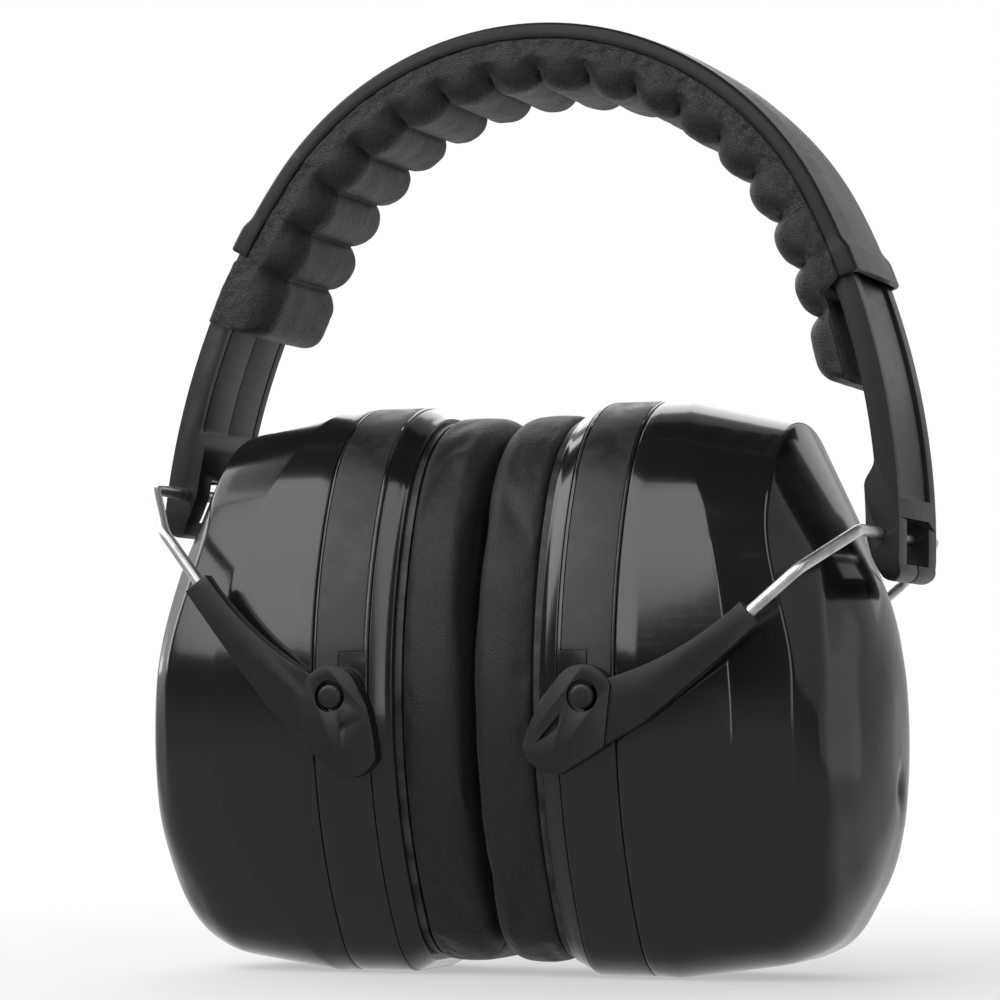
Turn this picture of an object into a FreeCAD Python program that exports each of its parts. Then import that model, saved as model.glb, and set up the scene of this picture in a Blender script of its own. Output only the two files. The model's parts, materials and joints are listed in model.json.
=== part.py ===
import FreeCAD
import Part
import Sketcher
import math
import os

# Over-the-head hearing protector: a sprung band with a padded underside, two
# arms that slide in its ends, a wire yoke with two levers on each arm, and two
# cups with ear cushions. Millimetres, +Z up, -Y front. It stands on its cups.
# The cushions face each other across the plane X = contact_x.

Vector = FreeCAD.Vector
Rotation = FreeCAD.Rotation
Placement = FreeCAD.Placement

os.makedirs("parts", exist_ok=True)
doc = FreeCAD.newDocument("earmuff")
sheet = doc.addObject("Spreadsheet::Sheet", "dims")

SIZES = [
    # cup sections: distance from the contact plane, half width, bottom, top, flat at the bottom
    ("contact_x", -1.745),
    ("seal_u", 15.2), ("seal_width", 36.2), ("seal_bottom", 2.4), ("seal_top", 112.4),
    ("ring_u", 19.5), ("ring_width", 38.5), ("ring_bottom", 0.0), ("ring_top", 114.6),
    ("seam_u", 31.3),
    ("crease_u", 58.6), ("crease_width", 35.2), ("crease_bottom", 3.0), ("crease_top", 109.6),
    ("shoulder_u", 67.0), ("shoulder_width", 28.5), ("shoulder_bottom", 6.5), ("shoulder_top", 92.5),
    ("face_u", 74.4), ("face_width", 18.5), ("face_bottom", 19.0), ("face_top", 75.0),
    ("crown_u", 78.0), ("crown_width", 8.5), ("crown_bottom", 31.0), ("crown_top", 61.0),
    ("ring_flat", 9.0), ("crease_flat", 8.0), ("shoulder_flat", 4.0), ("face_flat", 2.5),
    ("crown_flat", 2.0),
    ("end_round", 0.846), ("shell_wall", 2.4), ("ring_wall", 3.0), ("saddle_depth", 0.8),
    ("saddle_margin", 1.3), ("saddle_end_z", 64.0),
    # ear cushion, its plate and the foam in the cup
    ("cushion_gap", 0.4), ("plate_depth", 1.5), ("cushion_width", 35.4), ("cushion_bottom", 3.2),
    ("cushion_top", 111.6), ("ear_width", 20.0), ("ear_height", 31.0), ("cover_skin", 1.2),
    ("cushion_round", 5.0), ("foam_u", 46.0), ("foam_gap", 0.3), ("foam_shrink", 3.6),
    ("ear_flat", 2.0), ("seal_land", 3.0), ("plate_land", 0.6), ("plate_inset", 0.3), ("foam_fit", 0.05),
    # pins and levers
    ("pivot_u", 26.0), ("pivot_z", 55.2), ("pin_shank", 1.9), ("pin_head", 2.35),
    ("pin_flange", 3.6), ("pin_bore_gap", 0.05), ("lever_near", 38.9), ("lever_thick", 3.4),
    ("head_recess", 1.2), ("head_gap", 0.75), ("pin_proud", 0.3), ("lever_head", 6.0),
    ("tail_recess", 1.1), ("flange_near", 33.6), ("flange_far", 34.9), ("seat_gap", 0.1),
    ("head_chamfer", 0.4), ("tip_half", 2.7),
    # wire yoke
    ("wire_radius", 1.15), ("yoke_length", 60.35), ("yoke_rise", 37.7), ("yoke_lean", 6.3),
    ("yoke_half", 30.0), ("tip_radius", 36.5), ("tip_rise", 31.9), ("socket_depth", 7.0),
    ("leg_straight", 12.5), ("wire_bend", 3.5), ("socket_gap", 0.01), ("socket_overrun", 8.0),
    # headband, measured from the centre of its top arc
    ("top_radius", 68.0), ("side_radius", 138.5), ("arc_change", 31.15), ("mouth_angle", 23.9),
    ("lip_angle", 26.4), ("lip_raise", 0.8), ("lip_relief", 0.5), ("band_width", 34.0),
    ("band_skin", 1.0), ("band_side", 3.6), ("channel_width", 31.2), ("channel_plate", 6.4),
    ("channel_bottom", 7.6), ("channel_wall", 0.65), ("pad_end_angle", 15.6), ("pad_end_left", 17.5),
    ("pad_depth", 14.0), ("pad_width", 33.6), ("pad_skin", 0.9), ("pad_seat_wall", 0.5), ("play", 0.1),
    ("flap_depth", 1.3), ("flap_wall", 1.1), ("lip_root", 1.5), ("lip_edge", 0.4), ("cut_past", 1.0),
    ("channel_inset", 0.3), ("flap_overlap", 0.2), ("end_skin", 0.6),
    # sliding arms
    ("arm_depth", 1.24), ("arm_radius", 150.0), ("slide_radius", 85.0), ("arm_width", 30.6),
    ("arm_thick", 4.2), ("tongue_thick", 2.6), ("tongue_angle", 14.8), ("foot_thick", 6.6),
    ("foot_above", 10.0), ("foot_below", 9.4), ("crossbar_drop", 31.0), ("window_width", 18.0),
    ("window_above", 3.4), ("window_below", 5.6), ("slit_width", 1.2), ("wire_bore_gap", 0.06),
    ("foot_blend", 5.0), ("foot_round", 5.5), ("toe_outer", 3.5), ("toe_inner", 3.0), ("toe_lift", 1.0),
    ("toe_round", 1.7), ("toe_low", 0.6), ("tongue_step", 1.0), ("opening_start", 90.0),
    ("opening_depth", 40.0), ("cut_margin", 3.0),
]
for row, (alias, value) in enumerate(SIZES, start=1):
    sheet.set(f"A{row}", alias)
    sheet.set(f"B{row}", str(value))
    sheet.setAlias(f"B{row}", alias)
doc.recompute()
d = {alias: float(sheet.get(alias)) for alias, value in SIZES}

NODES = []


# ---------------------------------------------------------------- helpers
def polar(centre, radius, degrees):
    """Point at an angle above the horizontal through the centre."""
    angle = math.radians(degrees)
    return Vector(centre.x + radius * math.cos(angle), centre.y + radius * math.sin(angle), 0)


def arc_between(centre, radius, start, end):
    """Arc about the centre from one angle to another, in degrees."""
    middle = polar(centre, radius, (start + end) / 2)
    return Part.Arc(polar(centre, radius, start), middle, polar(centre, radius, end))


def line(a, b):
    return Part.LineSegment(a, b)


def new_body(name):
    body = doc.addObject("PartDesign::Body", name)
    body.Label = name
    return body


def new_sketch(body, role, curves, offset="0"):
    """Sketch on one of the body's own origin planes, moved along its normal."""
    plane = [f for f in body.Origin.OriginFeatures if f.Role == role][0]
    sketch = body.newObject("Sketcher::SketchObject", body.Name + "_sketch")
    sketch.AttachmentSupport = (plane, "")
    sketch.MapMode = "FlatFace"
    sketch.setExpression("AttachmentOffset.Base.z", offset)
    for curve in curves:
        sketch.addGeometry(curve)
    return sketch


def add_pad(body, sketch, length, symmetric=False, reverse=False):
    pad = body.newObject("PartDesign::Pad", body.Name + "_pad")
    pad.Profile = sketch
    pad.setExpression("Length", length)
    pad.SideType = "Symmetric" if symmetric else "One side"
    pad.Reversed = reverse
    body.Tip = pad
    return pad


def add_pocket(body, sketch, length, symmetric=False, reverse=False):
    """Pocket that has to take material away."""
    doc.recompute()
    before = body.Shape.Volume
    pocket = body.newObject("PartDesign::Pocket", body.Name + "_pocket")
    pocket.Profile = sketch
    pocket.setExpression("Length", length)
    pocket.SideType = "Symmetric" if symmetric else "One side"
    pocket.Reversed = reverse
    body.Tip = pocket
    doc.recompute()
    if body.Shape.Volume > before - 0.01:
        raise RuntimeError(f"{body.Name}: the pocket cuts nothing")
    return pocket


def add_loft(body, sketches, subtract=False):
    kind = "PartDesign::SubtractiveLoft" if subtract else "PartDesign::AdditiveLoft"
    loft = body.newObject(kind, body.Name + "_loft")
    loft.Profile = sketches[0]
    loft.Sections = sketches[1:]
    loft.Ruled = True
    body.Tip = loft
    return loft


def bind_circle(sketch, index, radius):
    """Bind the radius of a sketch circle to the sheet."""
    name = f"radius_{index}"
    number = sketch.addConstraint(Sketcher.Constraint("Radius", index, sketch.Geometry[index].Radius))
    sketch.renameConstraint(number, name)
    sketch.setExpression("Constraints." + name, radius)


def keep(obj, label):
    """Count an object as a node of the assembly."""
    obj.Label = label
    NODES.append(obj)
    return obj


# ---------------------------------------------------------------- outlines of the cup
def oval(width, bottom, top, flat, grow=0.0):
    """Egg-round outline: half width, lowest and highest point, flat at the bottom."""
    end = d["end_round"] * width + grow
    width = width + grow
    middle = (bottom + top) / 2
    half = (top - bottom) / 2 + grow
    rise = half - end
    side_shift = (rise ** 2 - (width - end) ** 2) / (2 * (width - end))
    side = width + side_shift
    corner = (side ** 2 - (side_shift + flat) ** 2 - half ** 2) / (2 * (side - half))
    shape = {"flat": flat, "bottom": middle - half, "side": side, "end": end, "corner": corner}
    shape["right"] = Vector(-side_shift, middle, 0)
    shape["left"] = Vector(side_shift, middle, 0)
    shape["upper"] = Vector(0, middle + rise, 0)
    shape["lower_right"] = Vector(flat, middle - half + corner, 0)
    shape["lower_left"] = Vector(-flat, middle - half + corner, 0)
    shape["top_angle"] = math.degrees(math.atan2(rise, side_shift))
    shape["low_angle"] = math.degrees(math.atan2(half - corner, side_shift + flat))
    return shape


def oval_curves(o):
    """Closed outline of six curves: top, side, corner, flat, corner, side."""
    up = o["top_angle"]
    low = o["low_angle"]
    flat = o["flat"]
    return [
        arc_between(o["upper"], o["end"], 180 - up, up),
        arc_between(o["right"], o["side"], up, -low),
        arc_between(o["lower_right"], o["corner"], -low, -90),
        line(Vector(flat, o["bottom"], 0), Vector(-flat, o["bottom"], 0)),
        arc_between(o["lower_left"], o["corner"], -90, low - 180),
        arc_between(o["left"], o["side"], 180 + low, 180 - up),
    ]


def horseshoe_curves(outer, inner, level):
    """Closed band between two ovals, above a level."""
    curves = []
    ends = []
    for o in (outer, inner):
        start = math.degrees(math.asin((level - o["right"].y) / o["side"]))
        curves.append(arc_between(o["right"], o["side"], start, o["top_angle"]))
        curves.append(arc_between(o["upper"], o["end"], o["top_angle"], 180 - o["top_angle"]))
        curves.append(arc_between(o["left"], o["side"], 180 - o["top_angle"], 180 - start))
        ends.append((polar(o["right"], o["side"], start), polar(o["left"], o["side"], 180 - start)))
    curves.append(line(ends[0][0], ends[1][0]))
    curves.append(line(ends[0][1], ends[1][1]))
    return curves


def cup_oval(part, grow=0.0, flat=None):
    names = (part + "_width", part + "_bottom", part + "_top")
    width, bottom, top = [d[name] for name in names]
    flat = d.get(part + "_flat", d["ring_flat"]) if flat is None else flat
    return oval(width, bottom, top, flat, grow)


def ear_oval(grow=0.0):
    middle = (d["cushion_bottom"] + d["cushion_top"]) / 2
    low = middle - d["ear_height"]
    return oval(d["ear_width"], low, middle + d["ear_height"], d["ear_flat"], grow)


def side_name(side, local_end):
    """World end of a piece that is built for the right side and turned for the left."""
    front = (local_end < 0) == (side == "right")
    return "front" if front else "rear"


SIDES = {"right": Rotation(), "left": Rotation(Vector(0, 0, 1), 180)}
CONTACT = Vector(d["contact_x"], 0, 0)


def cup_place(side):
    return Placement(CONTACT, SIDES[side])


# ---------------------------------------------------------------- cup pieces
def outer_shell(side):
    """Deep hard shell with creased facets towards its crowned face."""
    body = new_body(side + "_outer_shell")
    stations = [("ring", "seam_u"), ("crease", "crease_u"), ("shoulder", "shoulder_u"),
                ("face", "face_u"), ("crown", "crown_u")]
    outside = []
    for part, station in stations:
        outside.append(new_sketch(body, "YZ_Plane", oval_curves(cup_oval(part)), "dims." + station))
    add_loft(body, outside)
    doc.recompute()
    full = body.Shape.Volume
    inside = []
    wall = -d["shell_wall"]
    for part, station in stations[:-1]:
        offset = "dims." + station
        if part != "ring":
            offset += " - dims.shell_wall"
        inside.append(new_sketch(body, "YZ_Plane", oval_curves(cup_oval(part, wall)), offset))
    add_loft(body, inside, subtract=True)
    doc.recompute()
    if body.Shape.Volume > 0.7 * full:
        raise RuntimeError("the shell is not hollow")
    body.Placement = cup_place(side)
    keep(body, side + "_outer_shell")


def cup_ring(side):
    """Open ring between shell and seal ring, recessed for the saddle, bored for the pins."""
    body = new_body(side + "_cup_ring")
    outline = new_sketch(body, "YZ_Plane", oval_curves(cup_oval("ring")), "dims.ring_u")
    add_pad(body, outline, "dims.seam_u - dims.ring_u")
    inner = new_sketch(body, "YZ_Plane", oval_curves(cup_oval("ring", -d["ring_wall"])), "dims.seam_u")
    add_pocket(body, inner, "dims.seam_u - dims.ring_u")
    band = horseshoe_curves(cup_oval("ring", 1.0), cup_oval("ring", -d["saddle_depth"]), d["saddle_end_z"])
    recess = new_sketch(body, "YZ_Plane", band, "dims.seam_u - dims.saddle_margin")
    add_pocket(body, recess, "dims.seam_u - dims.ring_u - 2 * dims.saddle_margin")
    hole = Part.Circle(Vector(d["pivot_u"], d["pivot_z"], 0), Vector(0, 0, 1), d["pin_shank"])
    pins = new_sketch(body, "XZ_Plane", [hole])
    bind_circle(pins, 0, "dims.pin_shank")
    add_pocket(body, pins, "2 * dims.lever_near", symmetric=True)
    body.Placement = cup_place(side)
    keep(body, side + "_cup_ring")


def saddle_strip(side):
    """Matt strip let into the upper half of the ring."""
    body = new_body(side + "_saddle_strip")
    band = horseshoe_curves(cup_oval("ring"), cup_oval("ring", -d["saddle_depth"]), d["saddle_end_z"])
    sketch = new_sketch(body, "YZ_Plane", band, "dims.ring_u + dims.saddle_margin")
    add_pad(body, sketch, "dims.seam_u - dims.ring_u - 2 * dims.saddle_margin")
    body.Placement = cup_place(side)
    keep(body, side + "_saddle_strip")


def seal_ring(side):
    """Bevelled ring that the cushion plate seats against."""
    body = new_body(side + "_seal_ring")
    small = new_sketch(body, "YZ_Plane", oval_curves(cup_oval("seal")), "dims.seal_u")
    large = new_sketch(body, "YZ_Plane", oval_curves(cup_oval("ring")), "dims.ring_u")
    add_loft(body, [small, large])
    inner = new_sketch(body, "YZ_Plane", oval_curves(ear_oval(d["seal_land"])), "dims.ring_u")
    add_pocket(body, inner, "dims.ring_u - dims.seal_u")
    body.Placement = cup_place(side)
    keep(body, side + "_seal_ring")


def foam_liner(side):
    """Sound-absorbing foam that fills the back of the shell."""
    body = new_body(side + "_foam_liner")
    inset = -(d["shell_wall"] + d["foam_gap"])
    stations = [("ring", "foam_u"), ("crease", "crease_u"), ("shoulder", "shoulder_u"),
                ("face", "face_u")]
    sketches = []
    for part, station in stations:
        offset = "dims." + station
        shrink = inset
        if part == "ring":
            shrink = inset - d["foam_shrink"]
        else:
            offset += " - dims.shell_wall - dims.foam_gap"
        sketches.append(new_sketch(body, "YZ_Plane", oval_curves(cup_oval(part, shrink)), offset))
    add_loft(body, sketches)
    body.Placement = cup_place(side)
    keep(body, side + "_foam_liner")


def cushion_plate(side):
    """Stiff oval plate at the back of the cushion."""
    body = new_body(side + "_cushion_plate")
    outline = new_sketch(body, "YZ_Plane", oval_curves(cup_oval("cushion", -d["plate_inset"])),
                         "dims.seal_u - dims.plate_depth")
    add_pad(body, outline, "dims.plate_depth")
    inner = new_sketch(body, "YZ_Plane", oval_curves(ear_oval(d["plate_land"])), "dims.seal_u")
    add_pocket(body, inner, "dims.plate_depth")
    body.Placement = cup_place(side)
    keep(body, side + "_cushion_plate")


def cushion_cover(side):
    """Leatherette ring, open at the back, with rounded rims."""
    body = new_body(side + "_cushion_cover")
    depth = "dims.seal_u - dims.plate_depth - dims.cushion_gap"
    outline = new_sketch(body, "YZ_Plane", oval_curves(cup_oval("cushion")), "dims.cushion_gap")
    add_pad(body, outline, depth)
    ear = new_sketch(body, "YZ_Plane", oval_curves(ear_oval()), "dims.seal_u - dims.plate_depth")
    ring_block = add_pocket(body, ear, depth)
    front_edges = []
    for number, edge in enumerate(ring_block.Shape.Edges, start=1):
        box = edge.BoundBox
        if box.XMax < d["cushion_gap"] + 0.01:
            front_edges.append(f"Edge{number}")
    rim = body.newObject("PartDesign::Fillet", body.Name + "_rim")
    rim.Base = (ring_block, front_edges)
    rim.setExpression("Radius", "dims.cushion_round")
    body.Tip = rim
    doc.recompute()
    ring = oval_curves(cup_oval("cushion", -d["cover_skin"])) + oval_curves(ear_oval(d["cover_skin"]))
    hollow = new_sketch(body, "YZ_Plane", ring, "dims.seal_u - dims.plate_depth")
    add_pocket(body, hollow, depth + " - dims.cushion_round")
    body.Placement = cup_place(side)
    keep(body, side + "_cushion_cover")


def cushion_foam(side):
    """Foam ring inside the cushion cover."""
    body = new_body(side + "_cushion_foam")
    grow = d["cover_skin"] + d["foam_fit"]
    ring = oval_curves(cup_oval("cushion", -grow)) + oval_curves(ear_oval(grow))
    sketch = new_sketch(body, "YZ_Plane", ring, "dims.seal_u - dims.plate_depth")
    depth = "dims.seal_u - dims.plate_depth - dims.cushion_gap - dims.cushion_round"
    add_pad(body, sketch, depth + " - 2 * dims.foam_fit", reverse=True)
    body.Placement = cup_place(side)
    keep(body, side + "_cushion_foam")


def pivot_pin(side, end):
    """Stepped pin: inner flange, shank through ring and lever, button head."""
    name = f"{side}_{side_name(side, end)}_pivot_pin"
    body = new_body(name)
    face = d["lever_near"] + d["lever_thick"]
    head_in = face - d["head_recess"] + d["seat_gap"]
    top = face + d["pin_proud"]
    rim = d["head_chamfer"]
    steps = [(d["flange_near"], 0), (d["flange_near"], d["pin_flange"]), (d["flange_far"], d["pin_flange"]),
             (d["flange_far"], d["pin_shank"]), (head_in, d["pin_shank"]), (head_in, d["pin_head"]),
             (top - rim, d["pin_head"]), (top, d["pin_head"] - rim), (top, 0)]
    points = [Vector(radius, height, 0) for height, radius in steps]
    curves = [line(a, b) for a, b in zip(points, points[1:] + points[:1])]
    sketch = new_sketch(body, "XZ_Plane", curves)
    turn = body.newObject("PartDesign::Revolution", name + "_turn")
    turn.Profile = sketch
    turn.ReferenceAxis = (sketch, ["V_Axis"])
    turn.Angle = 360
    body.Tip = turn
    upright = Rotation(Vector(1, 0, 0), 90 if end < 0 else -90)
    local = Placement(Vector(d["pivot_u"], 0, d["pivot_z"]), upright)
    body.Placement = cup_place(side).multiply(local)
    keep(body, name)


# ---------------------------------------------------------------- yoke pieces
def yoke_place(side):
    """Levers and wire turn together about the pins; both lean the same way at rest."""
    lean = Rotation(Vector(0, 1, 0), d["yoke_lean"])
    sign = 1 if side == "right" else -1
    base = CONTACT + Vector(sign * d["pivot_u"], 0, d["pivot_z"])
    return Placement(base, lean.multiply(SIDES[side]))


def yoke_points():
    """Tip of the levers and the crossbar in the yoke's own XZ plane."""
    origin = Vector(0, 0, 0)
    tip = polar(origin, d["tip_radius"], d["tip_rise"])
    bar = polar(origin, d["yoke_length"], d["yoke_rise"])
    return tip, bar


def rounded_path(points, radius):
    """Straight runs joined by tangent arcs."""
    curves = []
    start = points[0]
    for corner, after in zip(points[1:-1], points[2:]):
        into = (corner - start).normalize()
        away = (after - corner).normalize()
        turn = into.getAngle(away)
        back = radius * math.tan(turn / 2)
        a = corner - into * back
        b = corner + away * back
        bisector = (away - into).normalize()
        centre = corner + bisector * (radius / math.cos(turn / 2))
        middle = centre - bisector * radius
        curves.append(line(start, a))
        curves.append(Part.Arc(a, middle, b))
        start = b
    curves.append(line(start, points[-1]))
    return curves


def wire_yoke(side):
    """Bent wire: crossbar, two legs that step out to the levers, two ends in their sockets."""
    body = new_body(side + "_wire_yoke")
    tip, bar = yoke_points()
    reach = (bar - tip).Length
    lever_middle = d["lever_near"] + d["lever_thick"] / 2
    points = [
        Vector(-d["socket_depth"], -lever_middle, 0),
        Vector(d["leg_straight"], -lever_middle, 0),
        Vector(reach, -d["yoke_half"], 0),
        Vector(reach, d["yoke_half"], 0),
        Vector(d["leg_straight"], lever_middle, 0),
        Vector(-d["socket_depth"], lever_middle, 0),
    ]
    path = new_sketch(body, "XY_Plane", rounded_path(points, d["wire_bend"]))
    circle = Part.Circle(Vector(-lever_middle, 0, 0), Vector(0, 0, 1), d["wire_radius"])
    section = new_sketch(body, "YZ_Plane", [circle], "-dims.socket_depth")
    bind_circle(section, 0, "dims.wire_radius")
    pipe = body.newObject("PartDesign::AdditivePipe", side + "_pipe")
    pipe.Profile = section
    pipe.Spine = (path, [f"Edge{n + 1}" for n in range(len(path.Geometry))])
    body.Tip = pipe
    slope = math.degrees(math.atan2(bar.y - tip.y, bar.x - tip.x))
    local = Placement(Vector(tip.x, 0, tip.y), Rotation(Vector(0, 1, 0), -slope))
    body.Placement = yoke_place(side).multiply(local)
    keep(body, side + "_wire_yoke")


# Points of the lever's outline and of the triangular recess in its tail, from the pin.
TAIL_INNER = Vector(-11.0, -10.9, 0)
TAIL_TIP = Vector(-8.6, -14.0, 0)
TAIL_OUTER = Vector(-2.9, -15.4, 0)
ELBOW = Vector(12.7, -3.6, 0)
UNDERSIDE = Vector(23.2, 6.9, 0)
UPPER_SIDE = Vector(18.2, 10.6, 0)
NECK_ANGLE = 40
SHOULDER_ANGLE = 140
RECESS_TOP = Vector(-3.9, -3.2, 0)
RECESS_LOW = Vector(-7.9, -9.6, 0)
RECESS_SIDE = Vector(-4.2, -6.4, 0)


def lever_outline():
    """Round head about the pin, arm up to the wire's socket, tail towards the cushion."""
    tip, bar = yoke_points()
    along = (bar - tip).normalize()
    across = Vector(-along.y, along.x, 0)
    upper_tip = tip + across * d["tip_half"]
    lower_tip = tip - across * d["tip_half"]
    origin = Vector(0, 0, 0)
    head = d["lever_head"]
    neck = polar(origin, head, NECK_ANGLE)
    shoulder = polar(origin, head, SHOULDER_ANGLE)
    return [
        arc_between(origin, head, NECK_ANGLE, SHOULDER_ANGLE),
        line(shoulder, TAIL_INNER),
        Part.Arc(TAIL_INNER, TAIL_TIP, TAIL_OUTER),
        line(TAIL_OUTER, ELBOW),
        Part.Arc(ELBOW, UNDERSIDE, lower_tip),
        line(lower_tip, upper_tip),
        Part.Arc(upper_tip, UPPER_SIDE, neck),
    ]


def lever(side, end):
    """Flat lever with a recessed pin seat, a recessed tail and a socket for the wire."""
    name = f"{side}_{side_name(side, end)}_lever"
    body = new_body(name + "_body")
    front = end < 0
    near = "dims.lever_near" if front else "-dims.lever_near"
    far = "(dims.lever_near + dims.lever_thick)"
    outer = far if front else "-" + far
    add_pad(body, new_sketch(body, "XZ_Plane", lever_outline(), near), "dims.lever_thick",
            reverse=not front)
    origin = Vector(0, 0, 0)
    up = Vector(0, 0, 1)
    bore = new_sketch(body, "XZ_Plane", [Part.Circle(origin, up, d["pin_shank"] + d["pin_bore_gap"])], outer)
    bind_circle(bore, 0, "dims.pin_shank + dims.pin_bore_gap")
    add_pocket(body, bore, "dims.lever_thick", reverse=not front)
    seat = new_sketch(body, "XZ_Plane", [Part.Circle(origin, up, d["pin_head"] + d["head_gap"])], outer)
    bind_circle(seat, 0, "dims.pin_head + dims.head_gap")
    add_pocket(body, seat, "dims.head_recess", reverse=not front)
    corners = [RECESS_TOP, RECESS_LOW, RECESS_SIDE]
    triangle = [line(a, b) for a, b in zip(corners, corners[1:] + corners[:1])]
    add_pocket(body, new_sketch(body, "XZ_Plane", triangle, outer), "dims.tail_recess", reverse=not front)

    socket = doc.addObject("Part::Cylinder", name + "_socket")
    socket.setExpression("Radius", "dims.wire_radius + dims.socket_gap")
    socket.setExpression("Height", "dims.socket_depth + dims.socket_overrun")
    tip, bar = yoke_points()
    along = Vector(bar.x - tip.x, 0, bar.y - tip.y).normalize()
    middle = d["lever_near"] + d["lever_thick"] / 2
    start = Vector(tip.x, end * middle, tip.y) - along * d["socket_depth"]
    socket.Placement = Placement(start, Rotation(Vector(0, 0, 1), along))
    cut = doc.addObject("Part::Cut", name)
    cut.Base = body
    cut.Tool = socket
    cut.Placement = yoke_place(side)
    keep(cut, name)


# ---------------------------------------------------------------- headband
CHANGE = d["arc_change"]
SIDE_CENTRE = polar(Vector(0, 0, 0), d["top_radius"] - d["side_radius"], CHANGE)


def strip_curves(outer, inner, end, left_end=None):
    """Side view of a strip between two depths under the band's surface: a top arc with
    larger side arcs tangent to it, cut square at an angle seen from the side centre."""
    origin = Vector(0, 0, 0)
    left_end = end if left_end is None else left_end
    left_centre = Vector(-SIDE_CENTRE.x, SIDE_CENTRE.y, 0)
    curves = []
    for depth in (outer, inner):
        side = d["side_radius"] - depth
        curves.append(arc_between(SIDE_CENTRE, side, end, CHANGE))
        curves.append(arc_between(origin, d["top_radius"] - depth, CHANGE, 180 - CHANGE))
        curves.append(arc_between(left_centre, side, 180 - CHANGE, 180 - left_end))
    for centre, angle in ((SIDE_CENTRE, end), (left_centre, 180 - left_end)):
        curves.append(line(polar(centre, d["side_radius"] - outer, angle),
                           polar(centre, d["side_radius"] - inner, angle)))
    return curves


def lip_curves(outer, inner, start, end, left_only=False):
    """Short sector at each mouth of the band, or at the left one alone."""
    curves = []
    left_centre = Vector(-SIDE_CENTRE.x, SIDE_CENTRE.y, 0)
    places = [(left_centre, 180 - start, 180 - end)]
    if not left_only:
        places.append((SIDE_CENTRE, start, end))
    for centre, a, b in places:
        large = d["side_radius"] - outer
        small = d["side_radius"] - inner
        curves.append(arc_between(centre, large, a, b))
        curves.append(arc_between(centre, small, a, b))
        curves.append(line(polar(centre, large, a), polar(centre, small, a)))
        curves.append(line(polar(centre, large, b), polar(centre, small, b)))
    return curves


def four_bar():
    """Half the distance between the crossbars, the band's tilt and the middle between
    the crossbars, from the two yokes that lean the same way on level cups."""
    rise = math.radians(d["yoke_rise"])
    lean = math.radians(d["yoke_lean"])
    across = 2 * d["pivot_u"] + 2 * d["yoke_length"] * math.cos(rise) * math.cos(lean)
    drop = 2 * d["yoke_length"] * math.cos(rise) * math.sin(lean)
    middle_x = d["yoke_length"] * math.sin(rise) * math.sin(lean)
    middle_z = d["pivot_z"] + d["yoke_length"] * math.sin(rise) * math.cos(lean)
    tilt = math.degrees(math.atan2(drop, across))
    return math.hypot(across, drop) / 2, tilt, CONTACT + Vector(middle_x, 0, middle_z)


CROSSBAR, TILT, MIDDLE = four_bar()
BAND_TURN = Rotation(Vector(0, 1, 0), TILT)
BAND_PLACE = Placement(MIDDLE + BAND_TURN.multVec(Vector(0, 0, d["crossbar_drop"])), BAND_TURN)


def headband_cover():
    """Outer channel of the band, with a raised lip at each mouth."""
    body = new_body("headband_cover")
    mouth = d["mouth_angle"]
    full = new_sketch(body, "XZ_Plane", strip_curves(0, d["band_side"], mouth))
    add_pad(body, full, "dims.band_width", symmetric=True)
    lips = new_sketch(body, "XZ_Plane", lip_curves(-d["lip_raise"], d["lip_root"], mouth, d["lip_angle"]))
    add_pad(body, lips, "dims.band_width", symmetric=True)
    past = d["cut_past"]
    hollow = strip_curves(d["band_skin"], d["band_side"] + past, mouth - past)
    add_pocket(body, new_sketch(body, "XZ_Plane", hollow), "dims.channel_width", symmetric=True)
    relief = lip_curves(d["lip_relief"], d["lip_root"], mouth - past, d["lip_angle"] - d["lip_edge"])
    add_pocket(body, new_sketch(body, "XZ_Plane", relief), "dims.channel_width", symmetric=True)
    body.Placement = BAND_PLACE
    keep(body, "headband_cover")


def headband_channel():
    """Inner channel that closes the sleeves and carries the pad."""
    body = new_body("headband_channel")
    end = d["mouth_angle"] + d["channel_inset"]
    past = d["cut_past"]
    top = d["band_side"] + d["play"]
    full = strip_curves(top, d["channel_bottom"], end)
    width = "dims.channel_width + 2 * dims.channel_wall"
    add_pad(body, new_sketch(body, "XZ_Plane", full), width, symmetric=True)
    hollow = strip_curves(top - past, d["channel_plate"], end - past)
    add_pocket(body, new_sketch(body, "XZ_Plane", hollow), "dims.channel_width", symmetric=True)
    body.Placement = BAND_PLACE
    keep(body, "headband_channel")


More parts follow.
